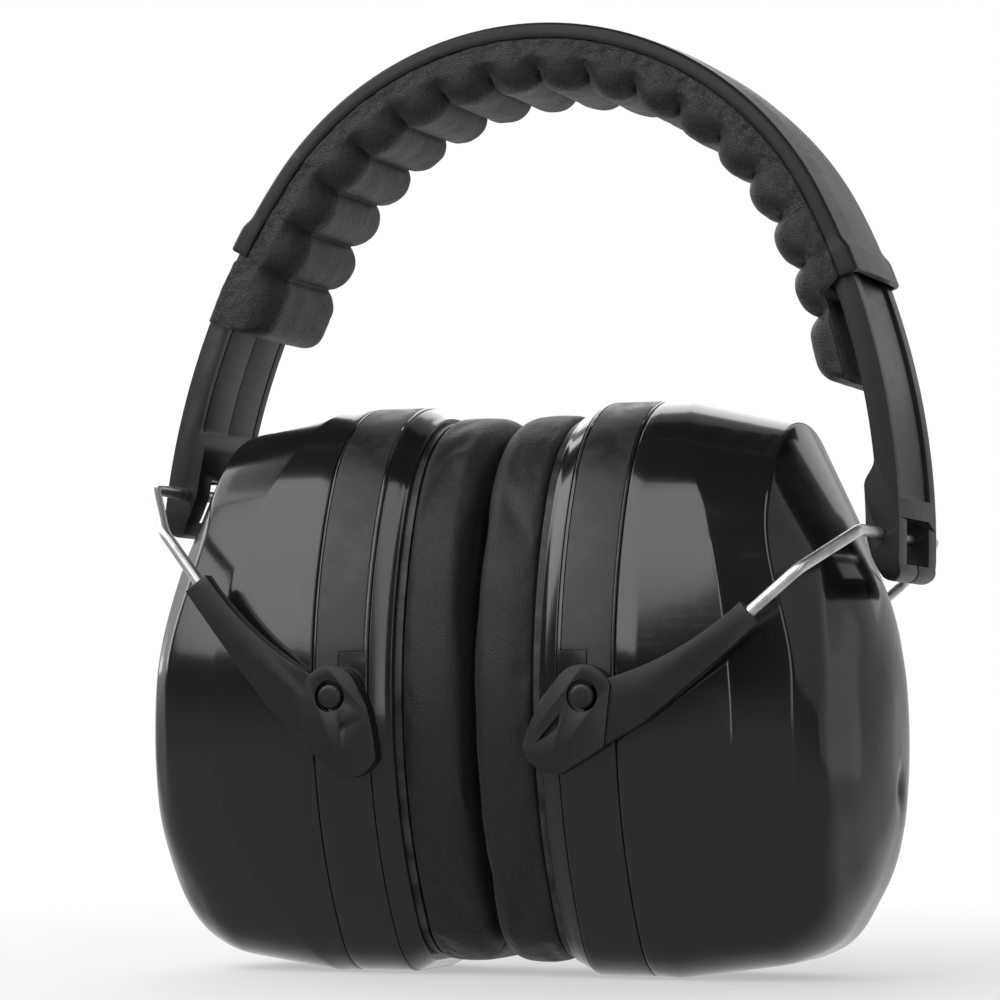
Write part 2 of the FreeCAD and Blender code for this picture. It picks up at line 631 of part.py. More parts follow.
def pad_cover():
    """Leather wrapped round the pad and up both sides of the channel. On the left it
    reaches on past the mouth, over both edges of the arm."""
    body = new_body("headband_pad_cover")
    end = d["pad_end_angle"]
    left = d["pad_end_left"]
    mouth = d["mouth_angle"]
    past = d["cut_past"]
    skin = d["end_skin"]
    lower = strip_curves(d["channel_plate"] + 2 * d["play"], d["pad_depth"], end, left)
    add_pad(body, new_sketch(body, "XZ_Plane", lower), "dims.pad_width", symmetric=True)
    top = d["band_side"] + d["play"]
    upper = strip_curves(top, d["channel_plate"] + past, mouth + d["channel_inset"])
    add_pad(body, new_sketch(body, "XZ_Plane", upper), "dims.pad_width", symmetric=True)
    flap = lip_curves(d["flap_depth"], d["channel_bottom"], left, mouth - d["flap_overlap"], left_only=True)
    add_pad(body, new_sketch(body, "XZ_Plane", flap), "dims.pad_width", symmetric=True)
    slot = lip_curves(d["flap_depth"] - past, d["channel_plate"], left - past, mouth, left_only=True)
    add_pocket(body, new_sketch(body, "XZ_Plane", slot), "dims.pad_width - 2 * dims.flap_wall",
               symmetric=True)
    seat = strip_curves(top - past, d["channel_bottom"], mouth)
    add_pocket(body, new_sketch(body, "XZ_Plane", seat), "dims.pad_width - 2 * dims.pad_seat_wall",
               symmetric=True)
    foam = strip_curves(d["channel_bottom"], d["pad_depth"] - d["pad_skin"], end + skin, left + skin)
    add_pocket(body, new_sketch(body, "XZ_Plane", foam), "dims.pad_width - 2 * dims.pad_skin",
               symmetric=True)
    body.Placement = BAND_PLACE
    keep(body, "headband_pad_cover")


def pad_foam():
    """Foam core of the band's pad."""
    body = new_body("headband_pad_foam")
    inset = d["end_skin"] + d["foam_fit"]
    foam = strip_curves(d["channel_bottom"], d["pad_depth"] - d["pad_skin"] - d["foam_fit"],
                        d["pad_end_angle"] + inset, d["pad_end_left"] + inset)
    width = "dims.pad_width - 2 * dims.pad_skin - 2 * dims.foam_fit"
    add_pad(body, new_sketch(body, "XZ_Plane", foam), width, symmetric=True)
    body.Placement = BAND_PLACE
    keep(body, "headband_pad_foam")


# ---------------------------------------------------------------- arms
MOUTH = d["mouth_angle"]
ARM_FACE = d["side_radius"] - d["arm_depth"]
ARM_CENTRE = polar(SIDE_CENTRE, ARM_FACE - d["arm_radius"], MOUTH)
SLIDE_CENTRE = polar(SIDE_CENTRE, ARM_FACE - d["slide_radius"], MOUTH)


def arm_curves():
    """Side view of a right arm: tongue, blade and foot."""
    big = d["arm_radius"]
    per_mm = math.degrees(1 / big)
    bar = math.degrees(math.asin((-d["crossbar_drop"] - ARM_CENTRE.y) / big))
    foot_top = bar + d["foot_above"] * per_mm
    blend = foot_top + d["foot_blend"] * per_mm
    low = bar - d["foot_below"] * per_mm
    slide = d["slide_radius"]
    tip = MOUTH + d["tongue_angle"]
    shoulder = MOUTH + d["tongue_step"]
    tongue = slide - d["tongue_thick"]
    blade = big - d["arm_thick"]
    foot = big - d["foot_thick"]
    step = polar(SLIDE_CENTRE, tongue, shoulder)
    blade_top = polar(SLIDE_CENTRE, slide - d["arm_thick"], shoulder)
    toe = low + d["toe_outer"] * per_mm
    outer_low = polar(ARM_CENTRE, big, toe)
    inner_low = polar(ARM_CENTRE, foot + d["toe_inner"], low + d["toe_lift"] * per_mm)
    bottom = polar(ARM_CENTRE, big - d["toe_round"], low + d["toe_low"] * per_mm)
    return [
        arc_between(SLIDE_CENTRE, slide, MOUTH, tip),
        line(polar(SLIDE_CENTRE, slide, tip), polar(SLIDE_CENTRE, tongue, tip)),
        arc_between(SLIDE_CENTRE, tongue, tip, shoulder),
        line(step, blade_top),
        line(blade_top, polar(ARM_CENTRE, blade, MOUTH)),
        arc_between(ARM_CENTRE, blade, MOUTH, blend),
        line(polar(ARM_CENTRE, blade, blend), polar(ARM_CENTRE, foot, foot_top)),
        arc_between(ARM_CENTRE, foot, foot_top, bar),
        line(polar(ARM_CENTRE, foot, bar), inner_low),
        Part.Arc(inner_low, bottom, outer_low),
        arc_between(ARM_CENTRE, big, toe, MOUTH),
    ]


def foot_corner(hand):
    """Waste outside one rounded lower corner of the foot, seen along X."""
    half = d["arm_width"] / 2
    r = d["foot_round"]
    past = d["cut_margin"]
    bottom = -d["crossbar_drop"] - d["foot_below"]
    centre = Vector(hand * (half - r), bottom + r, 0)
    side_end = Vector(hand * half, bottom + r, 0)
    low_end = Vector(hand * (half - r), bottom, 0)
    middle = polar(centre, r, -45 if hand > 0 else -135)
    corners = [low_end, Vector(low_end.x, bottom - past, 0), Vector(hand * (half + past), bottom - past, 0),
               Vector(hand * (half + past), side_end.y, 0), side_end]
    return [Part.Arc(side_end, middle, low_end)] + [line(a, b) for a, b in zip(corners, corners[1:])]


def arm(side):
    """Flat arm with a thin tongue in the band and a windowed foot round the crossbar."""
    body = new_body(side + "_arm")
    add_pad(body, new_sketch(body, "XZ_Plane", arm_curves()), "dims.arm_width", symmetric=True)
    level = -d["crossbar_drop"]
    bore = Part.Circle(Vector(CROSSBAR, level, 0), Vector(0, 0, 1), d["wire_radius"] + d["wire_bore_gap"])
    hole = new_sketch(body, "XZ_Plane", [bore])
    bind_circle(hole, 0, "dims.wire_radius + dims.wire_bore_gap")
    add_pocket(body, hole, "dims.arm_width + 2", symmetric=True)
    below = level - d["foot_below"] - d["cut_margin"]
    openings = [(d["window_width"] / 2, level - d["window_below"], level + d["window_above"]),
                (d["slit_width"] / 2, below, level)]
    for half, low, high in openings:
        corners = [Vector(-half, low, 0), Vector(half, low, 0), Vector(half, high, 0), Vector(-half, high, 0)]
        frame = [line(a, b) for a, b in zip(corners, corners[1:] + corners[:1])]
        add_pocket(body, new_sketch(body, "YZ_Plane", frame, "dims.opening_start"), "dims.opening_depth")
    for hand in (-1, 1):
        corner = new_sketch(body, "YZ_Plane", foot_corner(hand), "dims.opening_start")
        add_pocket(body, corner, "dims.opening_depth")
    body.Placement = BAND_PLACE.multiply(Placement(Vector(), SIDES[side]))
    keep(body, side + "_arm")


# ---------------------------------------------------------------- assembly
headband_cover()
headband_channel()
pad_foam()
pad_cover()
for side in SIDES:
    arm(side)
    wire_yoke(side)
    for end in (-1, 1):
        lever(side, end)
        pivot_pin(side, end)
    outer_shell(side)
    cup_ring(side)
    saddle_strip(side)
    seal_ring(side)
    foam_liner(side)
    cushion_plate(side)
    cushion_foam(side)
    cushion_cover(side)

doc.recompute()
for obj in doc.Objects:
    if "Invalid" in obj.State or "Error" in obj.State:
        raise RuntimeError(f"{obj.Name} failed: {obj.State}")
for node in NODES:
    shape = node.Shape
    if shape.isNull() or not shape.isValid() or not shape.Solids:
        raise RuntimeError(f"{node.Label} has no valid solid")
    shape.exportStep(f"parts/{node.Label}.step")
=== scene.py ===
import json
import math

import bmesh
import bpy
import numpy as np
from mathutils import Matrix, Vector, noise


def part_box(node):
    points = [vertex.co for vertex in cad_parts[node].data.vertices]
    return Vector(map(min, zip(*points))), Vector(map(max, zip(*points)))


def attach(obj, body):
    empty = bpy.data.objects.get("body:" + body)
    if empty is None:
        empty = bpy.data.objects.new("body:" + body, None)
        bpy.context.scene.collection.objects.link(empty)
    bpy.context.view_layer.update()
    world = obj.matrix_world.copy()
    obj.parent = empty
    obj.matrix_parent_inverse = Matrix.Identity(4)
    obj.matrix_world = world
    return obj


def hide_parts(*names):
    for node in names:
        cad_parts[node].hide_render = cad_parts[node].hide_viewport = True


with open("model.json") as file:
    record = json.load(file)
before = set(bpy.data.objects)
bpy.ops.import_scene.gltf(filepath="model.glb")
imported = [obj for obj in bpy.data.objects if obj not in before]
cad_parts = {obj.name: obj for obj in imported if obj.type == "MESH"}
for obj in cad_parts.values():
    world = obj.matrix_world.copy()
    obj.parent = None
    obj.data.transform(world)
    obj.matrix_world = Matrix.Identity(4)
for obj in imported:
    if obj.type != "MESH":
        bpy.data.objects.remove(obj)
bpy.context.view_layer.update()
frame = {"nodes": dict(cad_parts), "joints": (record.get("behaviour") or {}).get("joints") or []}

# Shapes are worked out in millimetres in each group's own right-hand frame, then placed
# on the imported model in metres. The left cup, yoke and arm are the right ones turned.
MM = 0.001
SIDES = ("left", "right")
FRONT, REAR = -1, 1

# ---------------------------------------------------------------- where the groups are
hinge = {j["name"]: Vector(j["pos_m"]) / MM for j in frame["joints"]}
pin_at = {side: hinge[side + "_cup_tilt"] for side in SIDES}
bar_at = {side: hinge[side + "_yoke_swing"] for side in SIDES}
CONTACT_X = (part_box("right_cushion_cover")[0].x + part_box("left_cushion_cover")[1].x) / 2 / MM
PIVOT_U = pin_at["right"].x - CONTACT_X
CROSSBAR_DROP = 31.0
TURN = {"right": Matrix.Identity(4), "left": Matrix.Rotation(math.pi, 4, "Z")}

span = bar_at["right"] - bar_at["left"]
TILT = math.atan2(-span.z, span.x)
CROSSBAR_HALF = span.length / 2
BAND = (Matrix.Translation((bar_at["right"] + bar_at["left"]) / 2) @ Matrix.Rotation(TILT, 4, "Y")
        @ Matrix.Translation((0, 0, CROSSBAR_DROP)))
reach_right = bar_at["right"] - pin_at["right"]
reach_left = bar_at["left"] - pin_at["left"]
angle_right = math.atan2(reach_right.z, reach_right.x)
angle_left = math.atan2(reach_left.z, -reach_left.x)
YOKE_RISE = (angle_right + angle_left) / 2
YOKE_LEAN = (angle_left - angle_right) / 2
YOKE_LENGTH = reach_right.length


def cup_place(side):
    return Matrix.Translation((CONTACT_X, 0, 0)) @ TURN[side]


def yoke_place(side):
    return Matrix.Translation(pin_at[side]) @ Matrix.Rotation(YOKE_LEAN, 4, "Y") @ TURN[side]


def arm_place(side):
    return BAND @ TURN[side]


def end_name(side, end):
    """World end, front or rear, of a piece made at the local front or rear."""
    return "front" if (end == FRONT) == (side == "right") else "rear"


# ---------------------------------------------------------------- mesh helpers
def linked(name, data):
    """New object in the scene for a mesh, a lamp or a camera."""
    obj = bpy.data.objects.new(name, data)
    bpy.context.scene.collection.objects.link(obj)
    return obj


def turn_outward(mesh):
    """Makes every face look away from the solid."""
    work = bmesh.new()
    work.from_mesh(mesh)
    bmesh.ops.recalc_face_normals(work, faces=work.faces)
    work.to_mesh(mesh)
    work.free()


def place(name, points, faces, matrix, material, body, nodes=(), sharp=None):
    """Object from points in millimetres, on its body, in place of its CAD nodes."""
    mesh = bpy.data.meshes.new(name)
    full = np.c_[np.asarray(points, float), np.ones(len(points))] @ np.array(matrix).T
    mesh.from_pydata((full[:, :3] * MM).tolist(), [], faces)
    mesh.validate()
    mesh.materials.append(material)
    obj = linked(name, mesh)
    turn_outward(mesh)
    mesh.shade_smooth()
    if sharp:
        mesh.set_sharp_from_angle(angle=math.radians(sharp))
    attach(obj, body)
    if nodes:
        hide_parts(*nodes)
    return obj


def skin(rings, closed_along=False, cap_start=False, cap_end=False, flat_ends=False):
    """Points and faces of a surface through rings of equal count."""
    rings = [np.asarray(r, float) for r in rings]
    count = len(rings[0])
    points = np.concatenate(rings)
    rows = len(rings)
    faces = []
    for i in range(rows if closed_along else rows - 1):
        a = i * count
        b = ((i + 1) % rows) * count
        for j in range(count):
            k = (j + 1) % count
            faces.append((a + j, a + k, b + k, b + j))
    if flat_ends:
        faces.append(tuple(range(count)))
        faces.append(tuple(range((rows - 1) * count, rows * count)))
    extra = []
    for cap, row in ((cap_start, 0), (cap_end, rows - 1)):
        if cap:
            centre = len(points) + len(extra)
            extra.append(rings[row].mean(axis=0))
            base = row * count
            faces += [(base + j, base + (j + 1) % count, centre) for j in range(count)]
    if extra:
        points = np.concatenate([points, extra])
    return points, faces


def apply_modifiers(obj):
    """Bake the object's modifiers into its mesh."""
    graph = bpy.context.evaluated_depsgraph_get()
    baked = bpy.data.meshes.new_from_object(obj.evaluated_get(graph))
    obj.modifiers.clear()
    old = obj.data
    obj.data = baked
    bpy.data.meshes.remove(old)


def subdivide(obj):
    """One rounding subdivision, baked in."""
    smoother = obj.modifiers.new("round", "SUBSURF")
    smoother.levels = 1
    smoother.render_levels = 1
    apply_modifiers(obj)


def scratch(name, points, faces):
    """Helper object for a boolean, in millimetres."""
    mesh = bpy.data.meshes.new(name)
    mesh.from_pydata([tuple(p) for p in points], [], faces)
    turn_outward(mesh)
    return linked(name, mesh)


def prism(outline, low, high):
    """Solid between y = low and y = high over an outline in the XZ plane."""
    count = len(outline)
    points = [(x, low, z) for x, z in outline] + [(x, high, z) for x, z in outline]
    faces = [tuple(range(count)), tuple(range(2 * count - 1, count - 1, -1))]
    faces += [(j, (j + 1) % count, count + (j + 1) % count, count + j) for j in range(count)]
    return points, faces


def carved(solids, cutters, bevel, segments=3, limit=30):
    """Solids joined, cut and given rounded edges; returns points and faces in millimetres."""
    points = []
    faces = []
    for base_points, base_faces in solids:
        base = scratch("base", base_points, base_faces)
        helpers = [scratch("cutter", p, f) for p, f in cutters]
        for helper in helpers:
            cut = base.modifiers.new("cut", "BOOLEAN")
            cut.operation = "DIFFERENCE"
            cut.solver = "EXACT"
            cut.object = helper
        rim = base.modifiers.new("rim", "BEVEL")
        rim.width = bevel
        rim.segments = segments
        rim.limit_method = "ANGLE"
        rim.angle_limit = math.radians(limit)
        rim.harden_normals = False
        apply_modifiers(base)
        start = len(points)
        points += [tuple(v.co) for v in base.data.vertices]
        faces += [tuple(start + i for i in p.vertices) for p in base.data.polygons]
        for obj in [base] + helpers:
            bpy.data.objects.remove(obj)
    return points, faces


def arc(centre, radius, start, end, step=4.0):
    """Points along an arc in degrees, both ends included."""
    count = max(2, int(abs(end - start) / step) + 1)
    angles = np.radians(np.linspace(start, end, count))
    return [(centre[0] + radius * math.cos(t), centre[1] + radius * math.sin(t)) for t in angles]


def three_point_arc(a, b, c, count=14):
    """Points along the arc from a through b to c."""
    ax, ay = a
    bx, by = b
    cx, cy = c
    d = 2 * (ax * (by - cy) + bx * (cy - ay) + cx * (ay - by))
    aa, bb, cc = ax**2 + ay**2, bx**2 + by**2, cx**2 + cy**2
    ux = (aa * (by - cy) + bb * (cy - ay) + cc * (ay - by)) / d
    uy = (aa * (cx - bx) + bb * (ax - cx) + cc * (bx - ax)) / d
    radius = math.hypot(ax - ux, ay - uy)
    t0 = math.atan2(ay - uy, ax - ux)
    t1 = math.atan2(by - uy, bx - ux)
    t2 = math.atan2(cy - uy, cx - ux)
    turn = (t2 - t0) % math.tau
    if (t1 - t0) % math.tau > turn:
        turn -= math.tau
    angles = [t0 + turn * k / count for k in range(count + 1)]
    return [(ux + radius * math.cos(t), uy + radius * math.sin(t)) for t in angles]


def smooth_step(low, high, value):
    t = np.clip((np.asarray(value, float) - low) / (high - low), 0, 1)
    return t * t * (3 - 2 * t)


def ripple(point, scale, stretch=(1, 1, 1), octaves=3, seed=0.0):
    """Fractal noise about zero at a point in millimetres."""
    x, y, z = (p * s / scale for p, s in zip(point, stretch))
    v = Vector((x + seed, y, z))
    return noise.fractal(v, 0.8, 2.1, octaves, noise_basis="PERLIN_ORIGINAL")


# ---------------------------------------------------------------- materials
def material(name, colour, roughness, metallic=0.0, coat=0.0, sheen=0.0, specular=0.5):
    mat = bpy.data.materials.new(name)
    mat.use_nodes = True
    shader = mat.node_tree.nodes["Principled BSDF"]
    values = {"Base Color": (*colour, 1), "Roughness": roughness, "Metallic": metallic,
              "Coat Weight": coat, "Coat Roughness": 0.06, "Sheen Weight": sheen,
              "Sheen Roughness": 0.4, "Specular IOR Level": specular}
    for key, value in values.items():
        shader.inputs[key].default_value = value
    return mat, shader


def node(mat, kind, **values):
    made = mat.node_tree.nodes.new(kind)
    for key, value in values.items():
        if key in made.inputs:
            made.inputs[key].default_value = value
        else:
            setattr(made, key, value)
    return made


def link(mat, output, target):
    mat.node_tree.links.new(output, target)


def texture_space(mat, scale=(1, 1, 1)):
    """The piece's own coordinates, in metres, stretched."""
    place_at = node(mat, "ShaderNodeTexCoord")
    mapping = node(mat, "ShaderNodeMapping")
    mapping.inputs["Scale"].default_value = scale
    link(mat, place_at.outputs["Object"], mapping.inputs["Vector"])
    return mapping.outputs["Vector"]


def noise_node(mat, vector, scale, detail=4.0, rough=0.5):
    made = node(mat, "ShaderNodeTexNoise", Scale=scale, Detail=detail, Roughness=rough)
    link(mat, vector, made.inputs["Vector"])
    return made.outputs["Fac"]


def ranged(mat, value, low, high, to_low, to_high):
    limits = {"From Min": low, "From Max": high, "To Min": to_low, "To Max": to_high}
    made = node(mat, "ShaderNodeMapRange", **limits)
    link(mat, value, made.inputs["Value"])
    return made.outputs["Result"]


def mixed_colour(mat, factor, a, b):
    made = node(mat, "ShaderNodeMix", data_type="RGBA")
    made.inputs[6].default_value = (*a, 1)
    made.inputs[7].default_value = (*b, 1)
    link(mat, factor, made.inputs[0])
    return made.outputs[2]


def bump(mat, height, strength, distance, before=None):
    made = node(mat, "ShaderNodeBump", Strength=strength, Distance=distance)
    link(mat, height, made.inputs["Height"])
    if before is not None:
        link(mat, before, made.inputs["Normal"])
    return made.outputs["Normal"]


def product(mat, a, b):
    made = node(mat, "ShaderNodeMath", operation="MULTIPLY")
    link(mat, a, made.inputs[0])
    link(mat, b, made.inputs[1])
    return made.outputs[0]


def scaled_plus(mat, value, factor, rest):
    """A value times a factor, plus another value."""
    made = node(mat, "ShaderNodeMath", operation="MULTIPLY_ADD")
    link(mat, value, made.inputs[0])
    made.inputs[1].default_value = factor
    link(mat, rest, made.inputs[2])
    return made.outputs[0]


def worn_edges(mat):
    """High on convex edges, for handling wear."""
    geometry = node(mat, "ShaderNodeNewGeometry")
    return ranged(mat, geometry.outputs["Pointiness"], 0.52, 0.62, 0.0, 1.0)


def plastic(name, colour, lighter, rough_low, rough_high, grain, coat=0.0, peel=0.02, specular=0.5):
    """Moulded plastic: uneven gloss, fine grain, faint scuffs, lighter worn edges."""
    mat, shader = material(name, colour, rough_low, coat=coat, specular=specular)
    space = texture_space(mat)
    patches = noise_node(mat, space, 28, 3)
    scuffs = noise_node(mat, texture_space(mat, (1, 1, 14)), 60, 6, 0.7)
    scuffed = ranged(mat, scuffs, 0.56, 0.74, 0.0, 1.0)
    rough = ranged(mat, patches, 0.35, 0.7, rough_low, rough_high)
    link(mat, scaled_plus(mat, scuffed, 0.10, rough), shader.inputs["Roughness"])
    uneven = ranged(mat, noise_node(mat, space, 220, 4), 0.42, 0.62, 0.0, 0.8)
    wear = product(mat, worn_edges(mat), uneven)
    link(mat, mixed_colour(mat, wear, colour, lighter), shader.inputs["Base Color"])
    coarse = bump(mat, noise_node(mat, space, 420, 2), peel, 0.0004)
    link(mat, bump(mat, noise_node(mat, space, 3200, 3), grain, 0.00012, coarse), shader.inputs["Normal"])
    return mat


def speckled(name):
    """Matt strip with a mottled, slightly chalky surface."""
    mat, shader = material(name, (0.018, 0.018, 0.019), 0.5)
    space = texture_space(mat)
    blotches = noise_node(mat, space, 150, 8, 0.72)
    flecks = ranged(mat, blotches, 0.45, 0.7, 0.0, 1.0)
    mottled = mixed_colour(mat, flecks, (0.014, 0.014, 0.015), (0.032, 0.032, 0.034))
    link(mat, mottled, shader.inputs["Base Color"])
    link(mat, ranged(mat, blotches, 0.35, 0.7, 0.36, 0.62), shader.inputs["Roughness"])
    coarse = bump(mat, blotches, 0.25, 0.00025)
    link(mat, bump(mat, noise_node(mat, space, 2600, 3), 0.2, 0.0001, coarse), shader.inputs["Normal"])
    return mat


def leatherette(name, colour, rough_low, rough_high, cell, depth):
    """Coated fabric: pebbled grain, fine creases, duller in the hollows, with painted shade darkening the
    colour in the grain's hollows.
    """
    mat, shader = material(name, colour, rough_low, sheen=0.12, specular=0.4)
    space = texture_space(mat)
    warp = node(mat, "ShaderNodeVectorMath", operation="SCALE")
    jitter = node(mat, "ShaderNodeTexNoise")
    jitter.inputs["Scale"].default_value = cell * 0.6
    link(mat, space, jitter.inputs["Vector"])
    link(mat, jitter.outputs["Color"], warp.inputs[0])
    warp.inputs["Scale"].default_value = 0.6 / cell
    moved = node(mat, "ShaderNodeVectorMath", operation="ADD")
    link(mat, space, moved.inputs[0])
    link(mat, warp.outputs[0], moved.inputs[1])
    pebbles = node(mat, "ShaderNodeTexVoronoi", feature="DISTANCE_TO_EDGE")
    pebbles.inputs["Scale"].default_value = cell
    link(mat, moved.outputs[0], pebbles.inputs["Vector"])
    grain = ranged(mat, pebbles.outputs["Distance"], 0.0, 0.28, 0.0, 1.0)
    broad = noise_node(mat, space, 70, 5, 0.6)
    shine = 0.08
    uneven = ranged(mat, broad, 0.3, 0.7, rough_high + shine, rough_low + shine)
    link(mat, scaled_plus(mat, grain, -shine, uneven), shader.inputs["Roughness"])
    # Painted shade: the grain's hollows get a darker copy of the colour, as if in shadow.
    hollow_shade = tuple(c * 0.45 for c in colour)
    link(mat, mixed_colour(mat, grain, hollow_shade, colour), shader.inputs["Base Color"])
    folds = noise_node(mat, texture_space(mat, (1, 2.2, 1)), 240, 6, 0.65)
    creases = bump(mat, folds, 0.35, 0.0004)
    link(mat, bump(mat, grain, depth, 0.00012, creases), shader.inputs["Normal"])
    return mat


def drawn_wire(name):
    """Bright drawn steel with fine lengthwise lines and dull patches."""
    mat, shader = material(name, (0.8, 0.8, 0.81), 0.3, metallic=1.0)
    space = texture_space(mat)
    lines = noise_node(mat, texture_space(mat, (1, 1, 0.2)), 3000, 3)
    stains = noise_node(mat, space, 300, 4)
    dull = ranged(mat, stains, 0.4, 0.75, 0.0, 1.0)
    link(mat, mixed_colour(mat, dull, (0.86, 0.86, 0.87), (0.55, 0.55, 0.56)), shader.inputs["Base Color"])
    link(mat, ranged(mat, stains, 0.3, 0.7, 0.30, 0.46), shader.inputs["Roughness"])
    link(mat, bump(mat, lines, 0.15, 0.00008), shader.inputs["Normal"])
    return mat


def open_foam(name):
    """Open-cell foam: small pores painted dark as shade, in a grey web."""
    mat, shader = material(name, (0.05, 0.05, 0.055), 0.95, sheen=0.3, specular=0.2)
    space = texture_space(mat)
    pores = node(mat, "ShaderNodeTexVoronoi")
    pores.inputs["Scale"].default_value = 900
    link(mat, space, pores.inputs["Vector"])
    web = ranged(mat, pores.outputs["Distance"], 0.15, 0.5, 0.0, 1.0)
    # Painted shade: the pores are coloured near-black as if shadowed inside; the web keeps the foam's
    # grey.
    shaded_pore_tint = mixed_colour(mat, web, (0.012, 0.012, 0.013), (0.075, 0.075, 0.08))
    link(mat, shaded_pore_tint, shader.inputs["Base Color"])
    link(mat, bump(mat, web, 0.8, 0.0004), shader.inputs["Normal"])
    return mat


WORN = (0.05, 0.05, 0.05)
GLOSS = plastic("gloss_black", (0.010, 0.010, 0.011), WORN, 0.10, 0.20, 0.03, coat=0.25)
SATIN = plastic("satin_black", (0.013, 0.013, 0.014), WORN, 0.34, 0.46, 0.22, peel=0.05, specular=0.3)
LEVER = plastic("lever_black", (0.012, 0.012, 0.013), WORN, 0.28, 0.38, 0.12, peel=0.05, specular=0.36)
STRIP = speckled("mottled_black")
HIDE = leatherette("pad_leatherette", (0.022, 0.022, 0.023), 0.40, 0.54, 1500, 0.55)
CUSHION_HIDE = leatherette("cushion_leatherette", (0.014, 0.014, 0.015), 0.44, 0.56, 1900, 0.3)
WIRE = drawn_wire("drawn_steel")
FOAM = open_foam("grey_foam")

# ---------------------------------------------------------------- cup sections
RING = {"width": 38.5, "bottom": 0.0, "top": 114.6, "flat": 9.0}
CREASE = {"width": 35.2, "bottom": 3.0, "top": 109.6, "flat": 8.0}
SHOULDER = {"width": 28.5, "bottom": 6.5, "top": 92.5, "flat": 4.0}
FACE = {"width": 18.5, "bottom": 19.0, "top": 75.0, "flat": 2.5}
CROWN = {"width": 8.5, "bottom": 31.0, "top": 61.0, "flat": 2.0}
CUSHION = {"width": 35.4, "bottom": 3.2, "top": 111.6, "flat": 9.0}
EAR = {"width": 20.0, "bottom": 26.4, "top": 88.4, "flat": 2.0}
SEAL_U = 15.2
RING_U = 19.5
SEAM_U = 31.3
CREASE_U = 58.6
SHOULDER_U = 67.0
FACE_U = 74.4
CROWN_U = 78.0
WALL = 2.4
END_ROUND = 0.846
SADDLE_END = 64.0
SADDLE_TAB = 57.5


def oval(part, grow=0.0, cut=None):
    """Points (y, z) round an egg-shaped section, clockwise from its upper left. A level
    can be given where a point falls on each side."""
    end = END_ROUND * part["width"] + grow
    width = part["width"] + grow
    middle = (part["bottom"] + part["top"]) / 2
    half = (part["top"] - part["bottom"]) / 2 + grow
    rise = half - end
    shift = (rise**2 - (width - end) ** 2) / (2 * (width - end))
    side = width + shift
    corner = (side**2 - (shift + part["flat"]) ** 2 - half**2) / (2 * (side - half))
    up = math.degrees(math.atan2(rise, shift))
    low = math.degrees(math.atan2(half - corner, shift + part["flat"]))
    level = math.degrees(math.asin(((middle if cut is None else cut) - middle) / side))
    runs = [
        ((0, middle + rise), end, 180 - up, up, 44),
        ((-shift, middle), side, up, level, 22),
        ((-shift, middle), side, level, -low, 24),
        ((part["flat"], middle - half + corner), corner, -low, -90, 24),
        None,
        ((-part["flat"], middle - half + corner), corner, -90, low - 180, 24),
        ((shift, middle), side, 180 + low, 180 - level, 24),
        ((shift, middle), side, 180 - level, 180 - up, 22),
    ]
    points = []
    for run in runs:
        if run is None:
            for k in range(8):
                points.append((part["flat"] * (1 - k / 4), middle - half))
            continue
        centre, radius, a, b, count = run
        for k in range(count):
            t = math.radians(a + (b - a) * k / count)
            points.append((centre[0] + radius * math.cos(t), centre[1] + radius * math.sin(t)))
    return np.array(points)


def ring_at(u, part, grow=0.0, cut=None):
    flat = oval(part, grow, cut)
    return np.c_[np.full(len(flat), u), flat]


def facets(stations, radii, steps=7, between=5):
    """Rings through the stations: straight between them, rounded over at each by a distance
    that may change round the section."""
    rings = [stations[0]]
    start = stations[0]
    for k in range(1, len(stations) - 1):
        before = stations[k] - stations[k - 1]
        after = stations[k + 1] - stations[k]
        r = np.broadcast_to(radii[k - 1], (len(start),))[:, None]
        size_before = np.linalg.norm(before, axis=1)[:, None]
        size_after = np.linalg.norm(after, axis=1)[:, None]
        a = stations[k] - before * np.minimum(r / size_before, 0.5)
        b = stations[k] + after * np.minimum(r / size_after, 0.5)
        for t in np.linspace(0, 1, between + 1)[1:]:
            rings.append(start + (a - start) * t)
        for t in np.linspace(0, 1, steps + 1)[1:]:
            rings.append((1 - t) ** 2 * a + 2 * t * (1 - t) * stations[k] + t**2 * b)
        start = b
    for t in np.linspace(0, 1, between + 3)[1:]:
        rings.append(start + (stations[-1] - start) * t)
    return rings


def first_crease(near, far, inset):
    """Ring of the crease that starts by the seam at the top, runs out to the side and returns."""
    height = near[:, 2]
    bend = np.where(height > 50, 14.5, 26.0)
    at = 54.0 - inset - bend * ((height - 50) / 60) ** 2
    part = ((at - near[:, 0]) / (far[:, 0] - near[:, 0]))[:, None]
    ring = near + (far - near) * part
    middle = np.array([0, 0, 57.3])
    away = ring - middle
    away[:, 0] = 0
    away /= np.linalg.norm(away, axis=1)[:, None]
    swell = 0.75 + 0.25 * smooth_step(84, 110, height)
    return ring + away * swell[:, None]


def shell_rings(inset, seam_u):
    """Rings of the deep shell, grown inward by a distance."""
    parts = [(seam_u, RING), (CREASE_U - inset, CREASE), (SHOULDER_U - inset, SHOULDER),
             (FACE_U - inset, FACE), (CROWN_U - 0.25 - inset, CROWN)]
    stations = [ring_at(u, part, -inset) for u, part in parts]
    stations.insert(1, first_crease(stations[0], stations[1], inset))
    for station, out, narrower in ((stations[2], 6.6, 0.052), (stations[3], 2.8, 0.0)):
        level = station[:, 2]
        reach = smooth_step(6, 32, level) * (1 - smooth_step(58, 92, level))
        station[:, 0] += out * reach
        station[:, 1] *= 1 - narrower * reach
    middle = stations[-1].mean(axis=0)
    middle[0] = CROWN_U - inset
    stations.append(middle + (stations[-1] - middle) * 0.02)
    height = stations[0][:, 2]
    lower = 1 - smooth_step(20, 48, height)
    radii = [0.45 + 0.35 * lower, 0.8 + 2.4 * lower, 1.6 + 3.0 * lower, 4.0, 5.0]
    return facets(stations, radii)


